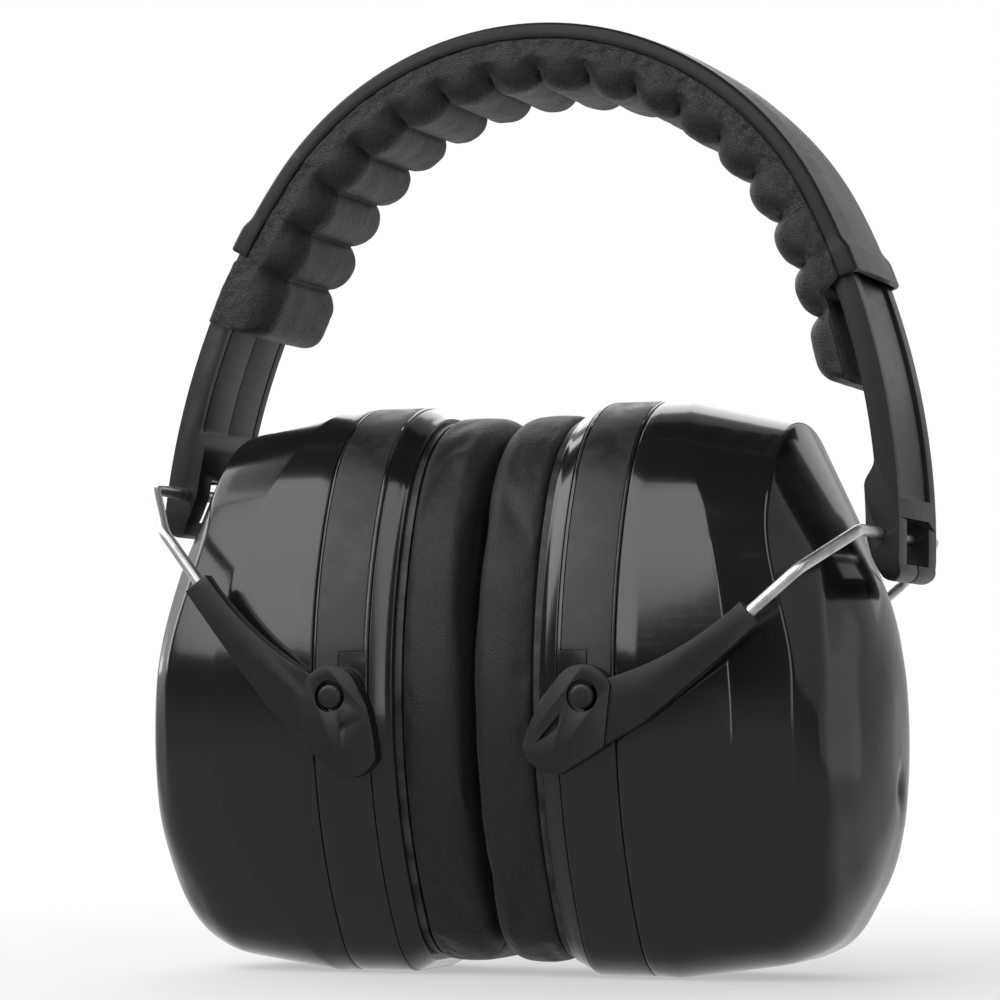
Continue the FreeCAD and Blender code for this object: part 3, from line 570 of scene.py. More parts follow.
def on_cup(side, piece, shape, finish, nodes, sharp=None):
    """Places a piece of the cup in place of the cup's CAD nodes."""
    points, faces = shape
    nodes = [side + "_" + name for name in nodes]
    frame_of = cup_place(side)
    return place(side + "_" + piece, points, faces, frame_of, finish, side + "_cup", nodes, sharp)


def outer_shell(side):
    """Glossy deep shell with two creases, a domed face and a small moulded dimple."""
    outside = shell_rings(0.0, SEAM_U + 0.5)
    edge = [(0.06, -WALL), (0.06, -0.45), (0.10, -0.2), (0.24, -0.06)]
    lip = [ring_at(SEAM_U + step, RING, grow) for step, grow in edge]
    inside = shell_rings(WALL, SEAM_U + 1.0)
    points, faces = skin(inside[::-1] + lip + outside, cap_start=True, cap_end=True)
    y = points[:, 1]
    z = points[:, 2]
    dent = np.exp(-((y / 1.9) ** 2 + ((z - 37.2) / 3.2) ** 2))
    points[:, 0] -= np.where(points[:, 0] > CROWN_U - 3.2, 0.9 * dent, 0)
    points[:, 2] = np.maximum(points[:, 2], 0.0)
    on_cup(side, "shell", (points, faces), GLOSS, ["outer_shell"])


def swept(loop, part, cut=None):
    """Closed ring swept round a section from a closed loop of (u, grow)."""
    return skin([ring_at(u, part, grow, cut) for u, grow in loop], closed_along=True)


def rounded_loop(corners, radii, steps=4):
    """Closed loop of points with each corner rounded by its own distance."""
    out = []
    count = len(corners)
    for k in range(count):
        corner = np.array(corners[k], float)
        before = np.array(corners[k - 1], float) - corner
        after = np.array(corners[(k + 1) % count], float) - corner
        a = corner + before / np.linalg.norm(before) * radii[k]
        b = corner + after / np.linalg.norm(after) * radii[k]
        for t in np.linspace(0, 1, steps + 1):
            out.append(tuple((1 - t) ** 2 * a + 2 * t * (1 - t) * corner + t**2 * b))
    return out


def saddle_patch(low_grow, high_grow, margin):
    """Curved plate over the upper ring with a tab down to the lever, as points and faces."""
    columns = [RING_U + 0.9 - margin, RING_U + 6.2 - margin, SEAM_U - 0.7 + margin]
    samples = oval(RING, 0.0, SADDLE_END)
    level = SADDLE_END - margin
    main = [j for j in range(len(samples)) if samples[j, 1] >= level - 0.01]
    main.sort(key=lambda j: math.atan2(samples[j, 0], samples[j, 1] - SADDLE_END + 1e-6))
    tab_levels = np.linspace(SADDLE_END, SADDLE_TAB - margin, 5)[1:]

    def side_point(grow, level_z, sign):
        part = oval(RING, grow, level_z)
        other_side = np.sign(part[:, 0]) != sign
        return part[np.argmin(np.abs(part[:, 1] - level_z) + 100 * other_side)]

    points = []
    faces = []

    def add_row(u_values, yz_high, yz_low):
        start = len(points)
        for u in u_values:
            points.append((u, *yz_high))
        for u in u_values:
            points.append((u, *yz_low))
        return start

    high = oval(RING, high_grow, SADDLE_END)
    low = oval(RING, low_grow, SADDLE_END)
    rows = [add_row(columns, high[j], low[j]) for j in main]
    for a, b in zip(rows, rows[1:]):
        for c in (0, 1):
            faces.append((a + c, a + c + 1, b + c + 1, b + c))
            faces.append((a + 3 + c + 1, a + 3 + c, b + 3 + c, b + 3 + c + 1))
        faces.append((a, b, b + 3, a + 3))
        faces.append((a + 2, a + 5, b + 5, b + 2))
    for end_row, sign in ((rows[0], -1), (rows[-1], 1)):
        faces.append((end_row, end_row + 1, end_row + 4, end_row + 3))
        previous = (end_row + 1, end_row + 2, end_row + 4, end_row + 5)
        for level_z in tab_levels:
            outer, inner = (side_point(grow, level_z, sign) for grow in (high_grow, low_grow))
            row = add_row(columns[1:], outer, inner)
            current = (row, row + 1, row + 2, row + 3)
            faces.append((previous[0], previous[1], current[1], current[0]))
            faces.append((previous[2], previous[3], current[3], current[2]))
            faces.append((previous[0], current[0], current[2], previous[2]))
            faces.append((previous[1], current[1], current[3], previous[3]))
            previous = current
        faces.append((previous[0], previous[1], previous[3], previous[2]))
    return points, faces


def cup_ring(side):
    """Glossy ring with the saddle let in flush, its seams rounded over."""
    near = RING_U + 0.06
    far = SEAM_U - 0.06
    loop = rounded_loop([(near, 0), (far, 0), (far, -3), (near, -3)], [0.45, 0.45, 0.3, 0.3])
    edges = np.linspace(RING_U + 0.51, SEAM_U - 0.51, 7)[1:-1]
    loop = loop[:5] + [(u, 0.0) for u in edges] + loop[5:]
    ring = carved([swept(loop, RING, SADDLE_END)], [saddle_patch(-0.82, 1.2, 0.10)], 0.06, 1, 50)
    on_cup(side, "ring", ring, GLOSS, ["cup_ring"], sharp=35)


def saddle_strip(side):
    """Matt strip that fills the recess in the ring."""
    strip = carved([saddle_patch(-0.8, 0.0, 0.0)], [], 0.22, 3, 50)
    on_cup(side, "saddle", strip, STRIP, ["saddle_strip"], sharp=35)


def seal_ring(side):
    """Bevelled glossy ring beside the cushion."""
    near = SEAL_U + 0.05
    far = RING_U - 0.05
    corners = [(near, -2.35), (SEAL_U + 1.2, -1.9), (far, -0.15), (far, -6), (near, -6)]
    loop = rounded_loop(corners, [0.3, 0.5, 0.35, 0.5, 0.5])
    on_cup(side, "bevel", swept(loop, RING), GLOSS, ["seal_ring"])


def foam_liner(side):
    """Foam in the shell, with rows of soft bumps towards the ear."""
    rings = []
    front_u = 46.0
    bump_pitch = 9.0
    middle = np.array([front_u, 0.0, 57.3])
    edge = ring_at(front_u, RING, -5.3)
    for t in np.linspace(0.02, 1, 30):
        ring = middle + (edge - middle) * t
        wave = np.cos(ring[:, 1] * math.tau / bump_pitch) * np.cos(ring[:, 2] * math.tau / bump_pitch)
        ring[:, 0] += 1.4 - 1.3 * wave * (1 - smooth_step(0.86, 1.0, t)) + 1.2 * smooth_step(0.9, 1.0, t)
        rings.append(ring)
    back = [(50.0, RING, -4.6), (CREASE_U - 3, CREASE, -3.0), (SHOULDER_U - 3, SHOULDER, -3.2),
            (FACE_U - 4, FACE, -3.4)]
    rings += [ring_at(u, part, grow) for u, part, grow in back]
    shape = skin(rings, cap_start=True, cap_end=True)
    obj = on_cup(side, "absorber", shape, FOAM, ["foam_liner"])


# ---------------------------------------------------------------- ear cushions
PLATE_U = 13.7
CUSHION_GAP = 0.12


def cushion_rings(crown):
    """Rings from the plate over the outer wall, the face and the inner wall, back to the plate."""
    rings = []
    outer = [(PLATE_U, -0.8), (PLATE_U - 0.5, -0.25)]
    outer += [(u, 0.0) for u in np.linspace(PLATE_U - 1.4, 4.6, 9)]
    quarter = np.linspace(0, math.pi / 2, 10)[1:-1]
    outer += [(4.6 - 4.1 * math.sin(t), -4.0 * (1 - math.cos(t))) for t in quarter]
    for u, grow in outer:
        bulge = crown * math.sin(math.pi * min(1, max(0, (PLATE_U - u) / 11.0)))
        rings.append(ring_at(u, CUSHION, grow + bulge))
    face_outer = ring_at(0.5, CUSHION, -4.0)
    face_inner = ring_at(0.8, EAR, 4.2)
    for t in np.linspace(0, 1, 9):
        ring = face_outer + (face_inner - face_outer) * t
        ring[:, 0] -= 0.25 * math.sin(math.pi * t)
        rings.append(ring)
    quarter = np.linspace(0, math.pi / 2, 8)[1:]
    inner = [(5.0 - 4.2 * math.cos(t), 4.2 * (1 - math.sin(t))) for t in quarter]
    inner += [(u, 0.0) for u in np.linspace(6.5, PLATE_U, 6)]
    rings += [ring_at(u, EAR, grow) for u, grow in inner]
    return rings


def inflate(obj, pinned, pressure, slack, frames, cap, near_limit):
    """Lets the cover swell and wrinkle as cloth, then keeps the result within a distance."""
    before = np.array([v.co[:] for v in obj.data.vertices])
    group = obj.vertex_groups.new(name="pinned")
    group.add(pinned, 1.0, "REPLACE")
    cloth = obj.modifiers.new("cloth", "CLOTH")
    values = {"vertex_group_mass": "pinned", "use_pressure": True, "uniform_pressure_force": pressure,
              "shrink_min": -slack, "tension_stiffness": 20, "compression_stiffness": 12,
              "bending_stiffness": 0.6, "quality": 6}
    for key, value in values.items():
        setattr(cloth.settings, key, value)
    cloth.settings.effector_weights.gravity = 0
    cloth.point_cache.frame_start = 1
    cloth.point_cache.frame_end = frames
    for step in range(1, frames + 1):
        bpy.context.scene.frame_set(step)
    apply_modifiers(obj)
    obj.vertex_groups.clear()
    bpy.context.scene.frame_set(1)
    after = np.array([v.co[:] for v in obj.data.vertices])
    move = after - before
    size = np.linalg.norm(move, axis=1, keepdims=True)
    move *= np.minimum(1, cap * MM / np.maximum(size, 1e-9))
    after = near_limit(before + move)
    obj.data.vertices.foreach_set("co", after.ravel())
    obj.data.update()


def cushion(side, seed):
    """Soft leatherette ring, swollen as cloth, flat where it meets the other one."""
    rings = cushion_rings(0.35)
    points, faces = skin(rings, closed_along=True)
    for k, p in enumerate(points):
        fade = float(smooth_step(0.5, 5.0, PLATE_U - p[0]))
        points[k][1:] *= 1 + 0.003 * fade * ripple(p, 30, (1.6, 1, 1), 2, seed)
        points[k][0] += 0.1 * fade * ripple(p, 12, (1, 1, 1), 3, seed + 7)
    stands_for = ["cushion_cover", "cushion_foam"]
    obj = on_cup(side, "cushion", (points, faces), CUSHION_HIDE, stands_for)
    sign = 1 if side == "right" else -1

    def stay(co):
        nearest = (CONTACT_X + sign * CUSHION_GAP) * MM
        co[:, 0] = np.maximum(co[:, 0], nearest) if sign > 0 else np.minimum(co[:, 0], nearest)
        return co

    pinned = [k for k, p in enumerate(points) if p[0] > PLATE_U - 1.0]
    inflate(obj, pinned, 3.0, 0.01, 20, 0.7, stay)
    subdivide(obj)


# ---------------------------------------------------------------- pins and levers
LEVER_NEAR = 38.9
LEVER_FAR = 42.3
PIN_RING = 3.1
SOCKET_DEPTH = 9
SOCKET_RADIUS = 1.2
WIRE_RADIUS = 1.15
TIP_RADIUS = 36.5
TIP_RISE = math.radians(31.9)
TIP = np.array([TIP_RADIUS * math.cos(TIP_RISE), TIP_RADIUS * math.sin(TIP_RISE)])
BAR = YOKE_LENGTH * np.array([math.cos(YOKE_RISE), math.sin(YOKE_RISE)])
ALONG = (BAR - TIP) / np.linalg.norm(BAR - TIP)
ACROSS = np.array([-ALONG[1], ALONG[0]])


def revolve(profile, matrix_local, count=48):
    """Surface of revolution about Z from (radius, height) points, both ends on the axis."""
    rings = []
    for radius, height in profile:
        t = np.linspace(0, math.tau, count, endpoint=False)
        ring = np.c_[radius * np.cos(t), radius * np.sin(t), np.full(count, height), np.ones(count)]
        rings.append((ring @ np.array(matrix_local).T)[:, :3])
    return skin(rings, cap_start=True, cap_end=True)


def pivot_pin(side, end):
    """Button-headed pin: domed head, shank, inner flange."""
    name = end_name(side, end) + "_pivot_pin"
    head = LEVER_FAR - 1.1
    flange = [(0.3, 33.7), (3.4, 33.7), (3.6, 33.9), (3.6, 34.7), (3.4, 34.9), (1.9, 35.0)]
    button = [(1.9, head), (2.2, head), (2.35, head + 0.2)]
    dome = [(2.35, -0.1), (2.27, 0.1), (2.05, 0.24), (1.5, 0.3), (0.5, 0.3)]
    profile = flange + button + [(radius, LEVER_FAR + rise) for radius, rise in dome]
    facing = Matrix.Rotation(math.radians(-90 * end), 4, "X")
    shape = revolve(profile, Matrix.Translation((PIVOT_U, 0, pin_at["right"].z)) @ facing)
    on_cup(side, name + "_button", shape, LEVER, [name], sharp=40)


def lever_outlines():
    """Outline of the raised head with its tail, and of the arm that runs up to the wire."""
    upper_tip = tuple(TIP + ACROSS * 2.5)
    lower_tip = tuple(TIP - ACROSS * 2.9)
    tail = (-2.9, -15.4)
    elbow = (12.7, -3.6)
    step_x = 5.4
    edge_slope = (elbow[1] - tail[1]) / (elbow[0] - tail[0])
    step_low = tail[1] + (step_x - tail[0]) * edge_slope
    head = arc((0, 0), 6.0, 26, 140, 5)
    head += three_point_arc((-8.0, -1.2), (-9.7, -6.0), (-11.0, -10.9), 6)
    head += three_point_arc((-10.7, -11.6), (-8.4, -14.3), (-4.2, -15.5), 6)
    head += [tail, (step_x, step_low)]
    arm = [(2.0, 5.2)] + three_point_arc((4.6, 3.9), (14.1, 8.6), upper_tip, 16)
    arm += three_point_arc(lower_tip, (23.2, 6.9), elbow, 14)
    arm += [(step_x - 2.0, step_low - 1.2), (-1.0, -8.0)]
    return head, arm


def lever(side, end):
    """Lever with a raised head, pin seat, marked tail and a wire socket in its arm."""
    name = f"{side}_{end_name(side, end)}_lever"
    head, arm = lever_outlines()

    def slab(outline, near, far):
        low, high = sorted((end * near, end * far))
        return prism(outline, low, high)

    seat = slab(arc((0, 0), PIN_RING, 0, 352, 8), LEVER_FAR - 1.2, LEVER_FAR + 1)
    bore = slab(arc((0, 0), 1.95, 0, 348, 12), LEVER_NEAR - 1, LEVER_FAR + 1)
    hollow = slab([(-4.1, -3.9), (-8.3, -9.9), (-4.0, -6.9)], LEVER_FAR - 1.1, LEVER_FAR + 1)
    middle = (LEVER_NEAR + LEVER_FAR) / 2 * end
    rings = []
    for x, z in (TIP - ALONG * SOCKET_DEPTH, TIP + ALONG * 2):
        ring = []
        for t in np.linspace(0, math.tau, 20, endpoint=False):
            out = SOCKET_RADIUS * math.cos(t)
            ring.append((x + out * ACROSS[0], middle + SOCKET_RADIUS * math.sin(t), z + out * ACROSS[1]))
        rings.append(ring)
    socket = skin(rings, cap_start=True, cap_end=True)
    dimple = slab(arc((-3.5, -5.6), 0.8, 0, 330, 30), LEVER_FAR - 0.5, LEVER_FAR + 1)
    mark = hollow if end == FRONT else dimple
    step = 0.45 if end == FRONT else 0.12
    points, faces = carved([slab(head, LEVER_NEAR, LEVER_FAR)], [seat, bore, mark], 0.42, 3, 34)
    body = slab(arm, LEVER_NEAR + 0.05, LEVER_FAR - step)
    more, more_faces = carved([body], [seat, bore, socket], 0.42, 3, 34)
    start = len(points)
    points += more
    faces += [tuple(start + i for i in f) for f in more_faces]
    owner = side + "_yoke"
    place(name + "_body", points, faces, yoke_place(side), LEVER, owner, [name], sharp=30)


def wire_path():
    """Centre line of the bent wire in the yoke's own frame."""
    reach = float(np.linalg.norm(BAR - TIP))
    side_y = (LEVER_NEAR + LEVER_FAR) / 2
    corners = [(-7, -side_y), (12.5, -side_y), (reach, -30),
               (reach, 30), (12.5, side_y), (-7, side_y)]
    radius = 3.5
    flat = [np.array(corners[0], float)]
    for k in range(1, len(corners) - 1):
        corner = np.array(corners[k], float)
        into = corner - np.array(corners[k - 1], float)
        away = np.array(corners[k + 1], float) - corner
        into /= np.linalg.norm(into)
        away /= np.linalg.norm(away)
        turn = math.acos(float(np.clip(into @ away, -1, 1)))
        back = radius * math.tan(turn / 2)
        a = corner - into * back
        b = corner + away * back
        centre = corner + (away - into) / np.linalg.norm(away - into) * radius / math.cos(turn / 2)
        along = a - centre
        sign = np.sign(into[0] * away[1] - into[1] * away[0])
        for t in np.linspace(0, 1, 11):
            c = math.cos(turn * t)
            s = math.sin(turn * t) * sign
            flat.append(centre + np.array([along[0] * c - along[1] * s, along[0] * s + along[1] * c]))
    flat.append(np.array(corners[-1], float))
    dense = [flat[0]]
    for a, b in zip(flat, flat[1:]):
        parts = max(1, int(np.linalg.norm(b - a) / 2.0))
        dense += [a + (b - a) * k / parts for k in range(1, parts + 1)]
    return np.array([(TIP[0] + ALONG[0] * a, y, TIP[1] + ALONG[1] * a) for a, y in dense])


def tube(path, radius, count=24):
    """Round tube with flat capped ends along a path of points."""
    normal = np.array([-ALONG[1], 0, ALONG[0]])
    rings = []
    for k, p in enumerate(path):
        ahead = path[min(k + 1, len(path) - 1)] - path[max(k - 1, 0)]
        ahead = ahead / np.linalg.norm(ahead)
        other = np.cross(ahead, normal)
        t = np.linspace(0, math.tau, count, endpoint=False)[:, None]
        rings.append(p + radius * (np.cos(t) * normal + np.sin(t) * other))
    return skin(rings, cap_start=True, cap_end=True)


def wire_yoke(side):
    """Bright wire from lever to lever through the arm's foot."""
    points, faces = tube(wire_path(), WIRE_RADIUS)
    name = side + "_wire_yoke"
    place(name + "_bent", points, faces, yoke_place(side), WIRE, side + "_yoke", [name])


# ---------------------------------------------------------------- headband
TOP_RADIUS = 68.0
SIDE_RADIUS = 138.5
CHANGE = math.radians(90 - 31.15)
SIDE_X = (TOP_RADIUS - SIDE_RADIUS) * math.sin(CHANGE)
SIDE_Z = (TOP_RADIUS - SIDE_RADIUS) * math.cos(CHANGE)
MOUTH = math.radians(90 - 23.9)
LIP = math.radians(90 - 26.4)
PAD_END = {"right": math.radians(90 - 15.6), "left": math.radians(90 - 17.5)}


def band_point(angle, depth, y):
    """Point at an angle from the top and a depth under the band's surface."""
    sign = 1 if angle >= 0 else -1
    lean = abs(angle)
    normal = np.array([math.sin(lean), math.cos(lean)])
    if lean <= CHANGE:
        at = (TOP_RADIUS - depth) * normal
    else:
        at = np.array([SIDE_X, SIDE_Z]) + (SIDE_RADIUS - depth) * normal
    return (sign * at[0], y, at[1])


def band_length(angle, depth):
    """Length along the band from the top to an angle at a depth."""
    lean = abs(angle)
    length = (TOP_RADIUS - depth) * min(lean, CHANGE) + (SIDE_RADIUS - depth) * max(0, lean - CHANGE)
    return math.copysign(length, angle)


def band_angle(length, depth):
    """Angle from the top at a length along the band."""
    top = (TOP_RADIUS - depth) * CHANGE
    size = abs(length)
    lean = size / (TOP_RADIUS - depth) if size <= top else CHANGE + (size - top) / (SIDE_RADIUS - depth)
    return math.copysign(lean, length)


def cover_section(flare):
    """Closed section of the outer channel as (y, depth): soft crown, rounded shoulders, flanges."""
    half = 17.0 + 0.35 * flare
    raise_by = 0.8 * flare
    outer = []
    for y in np.linspace(0, 16.0, 20):
        slope = float(smooth_step(6.5, 9.5, y)) * (y - 7.0) * 0.05 + 0.05 * (y / 15.4) ** 2
        outer.append((y, slope - raise_by))
    start = outer[-1][1]
    for t in np.linspace(0, math.pi / 2, 8)[1:]:
        outer.append((16.0 + (half - 16.0) * math.sin(t), start + 1.0 * (1 - math.cos(t))))
    outer += [(half, 2.6), (half, 3.35), (half - 0.12, 3.58), (half - 0.35, 3.68),
              (15.95, 3.65), (15.7, 3.4), (15.62, 2.4)]
    inner_top = 1.0 - 0.5 * flare
    inner = [(15.6, 0.35), (15.3, 0.06), (14.6, 0.0), (8, -0.02), (0, -0.04)]
    outer += [(y, inner_top + drop) for y, drop in inner]
    mirrored = [(-y, depth) for y, depth in outer[-2:0:-1]]
    return outer + mirrored


def headband_cover():
    """Outer plastic channel, flared at its two mouths."""
    rings = []
    end = MOUTH
    flange_y = 15.5
    angles = list(np.linspace(-end, end, 181))
    lips = [end - math.radians(a) for a in (0.04, 0.12, 0.25, 1.9, 2.2, 2.5, 2.9, 3.3)]
    angles = sorted(set(angles + lips + [-a for a in lips]))
    for angle in angles:
        flare = float(smooth_step(LIP - math.radians(0.9), LIP + math.radians(0.5), abs(angle)))
        section = np.array(cover_section(flare))
        edge = (end - abs(angle)) / math.radians(0.25)
        if edge < 1:
            centre_y = np.sign(section[:, 0]) * 16.2
            shrink = 1 - math.sqrt(max(0, 1 - (1 - edge) ** 2))
            wide = np.abs(section[:, 0]) > flange_y
            middle = np.where(wide, 2.2, 0.35 - 0.5 * flare)
            section[:, 1] += (middle - section[:, 1]) * 0.22 * shrink
            section[wide, 0] += (centre_y[wide] - section[wide, 0]) * 0.3 * shrink
        rings.append([band_point(angle, depth, y) for y, depth in section])
    points, faces = skin(rings, flat_ends=True)
    nodes = ["headband_cover"]
    place("headband_shell", points, faces, BAND, SATIN, "headband", nodes, sharp=40)


# ---------------------------------------------------------------- head pad
PAD_DEPTH = 14.0
LOBES = 15
BLOCK = 14.0
RIGHT_END_TOP = 7.7
RIB_DEPTH = 9.0
GROOVE = 2.7
GROOVE_IN = 2.9
END_ROUND_FACE = 4.4
END_ROUND_SIDE = 1.3
END_ROUND_TOP = 2.0
CORNER_START = 8.3
CORNER_Y = 11.4
PAD_HALF = 16.85
INNER_HALF = 16.3
CHANNEL_UNDER = 6.95
COVER_EDGE = 3.72
FLAP_TOP = 1.35


def pad_wave(length, low, high):
    """How far a place is from the middle of its lobe, 0 to 1 at a groove."""
    first = low + BLOCK
    last = high - BLOCK
    pitch = (last - first) / LOBES
    if length < first:
        return max(0.0, 1 - (first - length) / (pitch / 2))
    if length > last:
        return max(0.0, 1 - (length - last) / (pitch / 2))
    return abs(2 * (((length - first) / pitch) % 1.0) - 1)


def scallop(q):
    """Drop of a half-round lobe, 0 at its middle and 1 in the groove."""
    reach = 0.965
    return (1 - math.sqrt(1 - (reach * q) ** 2)) / (1 - math.sqrt(1 - reach**2))


def rounding(radius, from_end):
    """How far a rounded end draws in at a distance from its end."""
    return radius - math.sqrt(radius**2 - max(0, radius - from_end) ** 2)


def pad_section(length, low, high):
    """Closed section of the padded leather as (y, depth) at a place along the band."""
    angle = band_angle(length, RIB_DEPTH)
    q = pad_wave(length, low, high)
    drop = scallop(q)
    past = float(smooth_step(MOUTH - 0.002, MOUTH + 0.014, abs(angle)))
    flap = past if angle < 0 else 0.0
    from_end = min(length - low, high - length)
    eased = rounding(END_ROUND_TOP, from_end) if angle > 0 else 0.0
    end_rise = RIGHT_END_TOP + eased - COVER_EDGE
    lip_top = COVER_EDGE + (FLAP_TOP - COVER_EDGE) * flap + end_rise * (past - flap)
    inner_y = INNER_HALF - flap * 0.6
    inner_top = max(CHANNEL_UNDER, lip_top + 0.4)
    side = [(8.0, inner_top), (inner_y - 0.4, inner_top), (inner_y, inner_top - 0.02),
            (inner_y, lip_top + 0.35), (inner_y + 0.12, lip_top + 0.08), (16.45, lip_top),
            (16.75, lip_top + 0.12), (PAD_HALF, lip_top + 0.5)]
    swell = 0.45 * (1 - q**2)
    start = lip_top + 0.5
    for t in np.linspace(0, 1, 12)[1:]:
        depth = start + (CORNER_START - start) * t
        side.append((PAD_HALF + swell * float(smooth_step(0.1, 0.9, t)), depth))
    corner = []
    for t in np.linspace(0, math.pi / 2, 16)[1:]:
        y = CORNER_Y + (PAD_HALF + swell - CORNER_Y) * math.cos(t)
        corner.append((y, CORNER_START + (PAD_DEPTH - CORNER_START) * math.sin(t)))
    face = [(y, PAD_DEPTH) for y in np.linspace(CORNER_Y, 0, 9)[1:]]
    section = []
    for y, depth in side + corner + face:
        up = GROOVE * drop * float(smooth_step(8.8, 12.8, depth))
        inward = GROOVE_IN * drop * float(smooth_step(7.2, 9.8, depth)) * float(smooth_step(9.0, 15.5, y))
        section.append((y - inward, depth - up))
    face_inset = rounding(END_ROUND_FACE, from_end)
    side_inset = rounding(END_ROUND_SIDE, from_end)
    drawn = []
    for y, depth in section:
        lower = float(smooth_step(8.0, 13.5, depth))
        below_lip = float(smooth_step(6.9, 8.0, depth))
        drawn.append((y - side_inset * below_lip * min(1.0, y / 8.0), depth - face_inset * lower))
    return drawn + [(-y, depth) for y, depth in drawn[-2::-1]]


def head_pad():
    """Padded leatherette under the band: fifteen lobes between two end blocks."""
    low = band_length(-PAD_END["left"], RIB_DEPTH)
    high = band_length(PAD_END["right"], RIB_DEPTH)
    pitch = (high - low - 2 * BLOCK) / LOBES
    curl = END_ROUND_FACE * (1 - np.sin(np.linspace(math.pi / 2, 0, 9)))
    places = list(low + curl)
    places += list(np.linspace(low + END_ROUND_FACE, low + BLOCK, 16)[1:])
    for k in range(LOBES):
        t = np.linspace(-1, 1, 25)[1:]
        places += list(low + BLOCK + pitch * (k + 0.5 + 0.5 * np.sign(t) * np.abs(t) ** 0.75))
    places += list(np.linspace(high - BLOCK, high - END_ROUND_FACE, 16)[1:])
    places += list((high - curl)[::-1][1:])
    rings = []
    for length in places:
        angle = band_angle(length, RIB_DEPTH)
        rings.append([band_point(angle, depth, y) for y, depth in pad_section(length, low, high)])
    points, faces = skin(rings, flat_ends=True)
    for k in range(len(points)):
        p = points[k]
        depth_now = band_depth(p)
        near_band = float(1 - smooth_step(5.0, 9.0, depth_now))
        side = float(smooth_step(14.0, 16.4, abs(p[1])))
        wrinkle = ripple(p, 1.7, (1, 0.35, 1), 3) * 0.36 * near_band * side
        dents = ripple(p, 6.0, (1, 1, 1), 3, 3.0) * 0.22 + ripple(p, 2.2, (1, 1, 1), 3, 9.0) * 0.07
        points[k][1] += np.sign(p[1]) * (wrinkle + dents * side)
        toward = math.atan2(p[0], p[2])
        face_part = (1 - side) * float(smooth_step(8.0, 10.0, depth_now))
        points[k][0] += math.sin(toward) * dents * face_part
        points[k][2] += math.cos(toward) * dents * face_part
    obj = place("headband_pad", points, faces, BAND, HIDE, "headband",
                ["headband_pad_cover", "headband_pad_foam"])
    work = bmesh.new()
    work.from_mesh(obj.data)
    bmesh.ops.triangulate(work, faces=[f for f in work.faces if len(f.verts) > 4])
    work.to_mesh(obj.data)
    work.free()
    subdivide(obj)


def band_depth(p):
    """Depth of a point under the band's surface."""
    x = abs(p[0])
    if math.atan2(x, p[2]) <= CHANGE and p[2] > 0:
        return TOP_RADIUS - math.hypot(x, p[2])
    return SIDE_RADIUS - math.hypot(x - SIDE_X, p[2] - SIDE_Z)


# ---------------------------------------------------------------- arms
ARM_RADIUS = 150.0
SLIDE_RADIUS = 85.0
ARM_HALF = 15.3
ARM_DEPTH = 1.24
TONGUE = 2.6
BLADE = 4.2
FOOT = 6.6
FOOT_BELOW = 9.4
FOOT_ABOVE = 10.0
FOOT_ROUND = 5.5
WIRE_BORE = 1.22


def side_polar(centre, radius, degrees):
    t = math.radians(degrees)
    return (centre[0] + radius * math.cos(t), centre[1] + radius * math.sin(t))


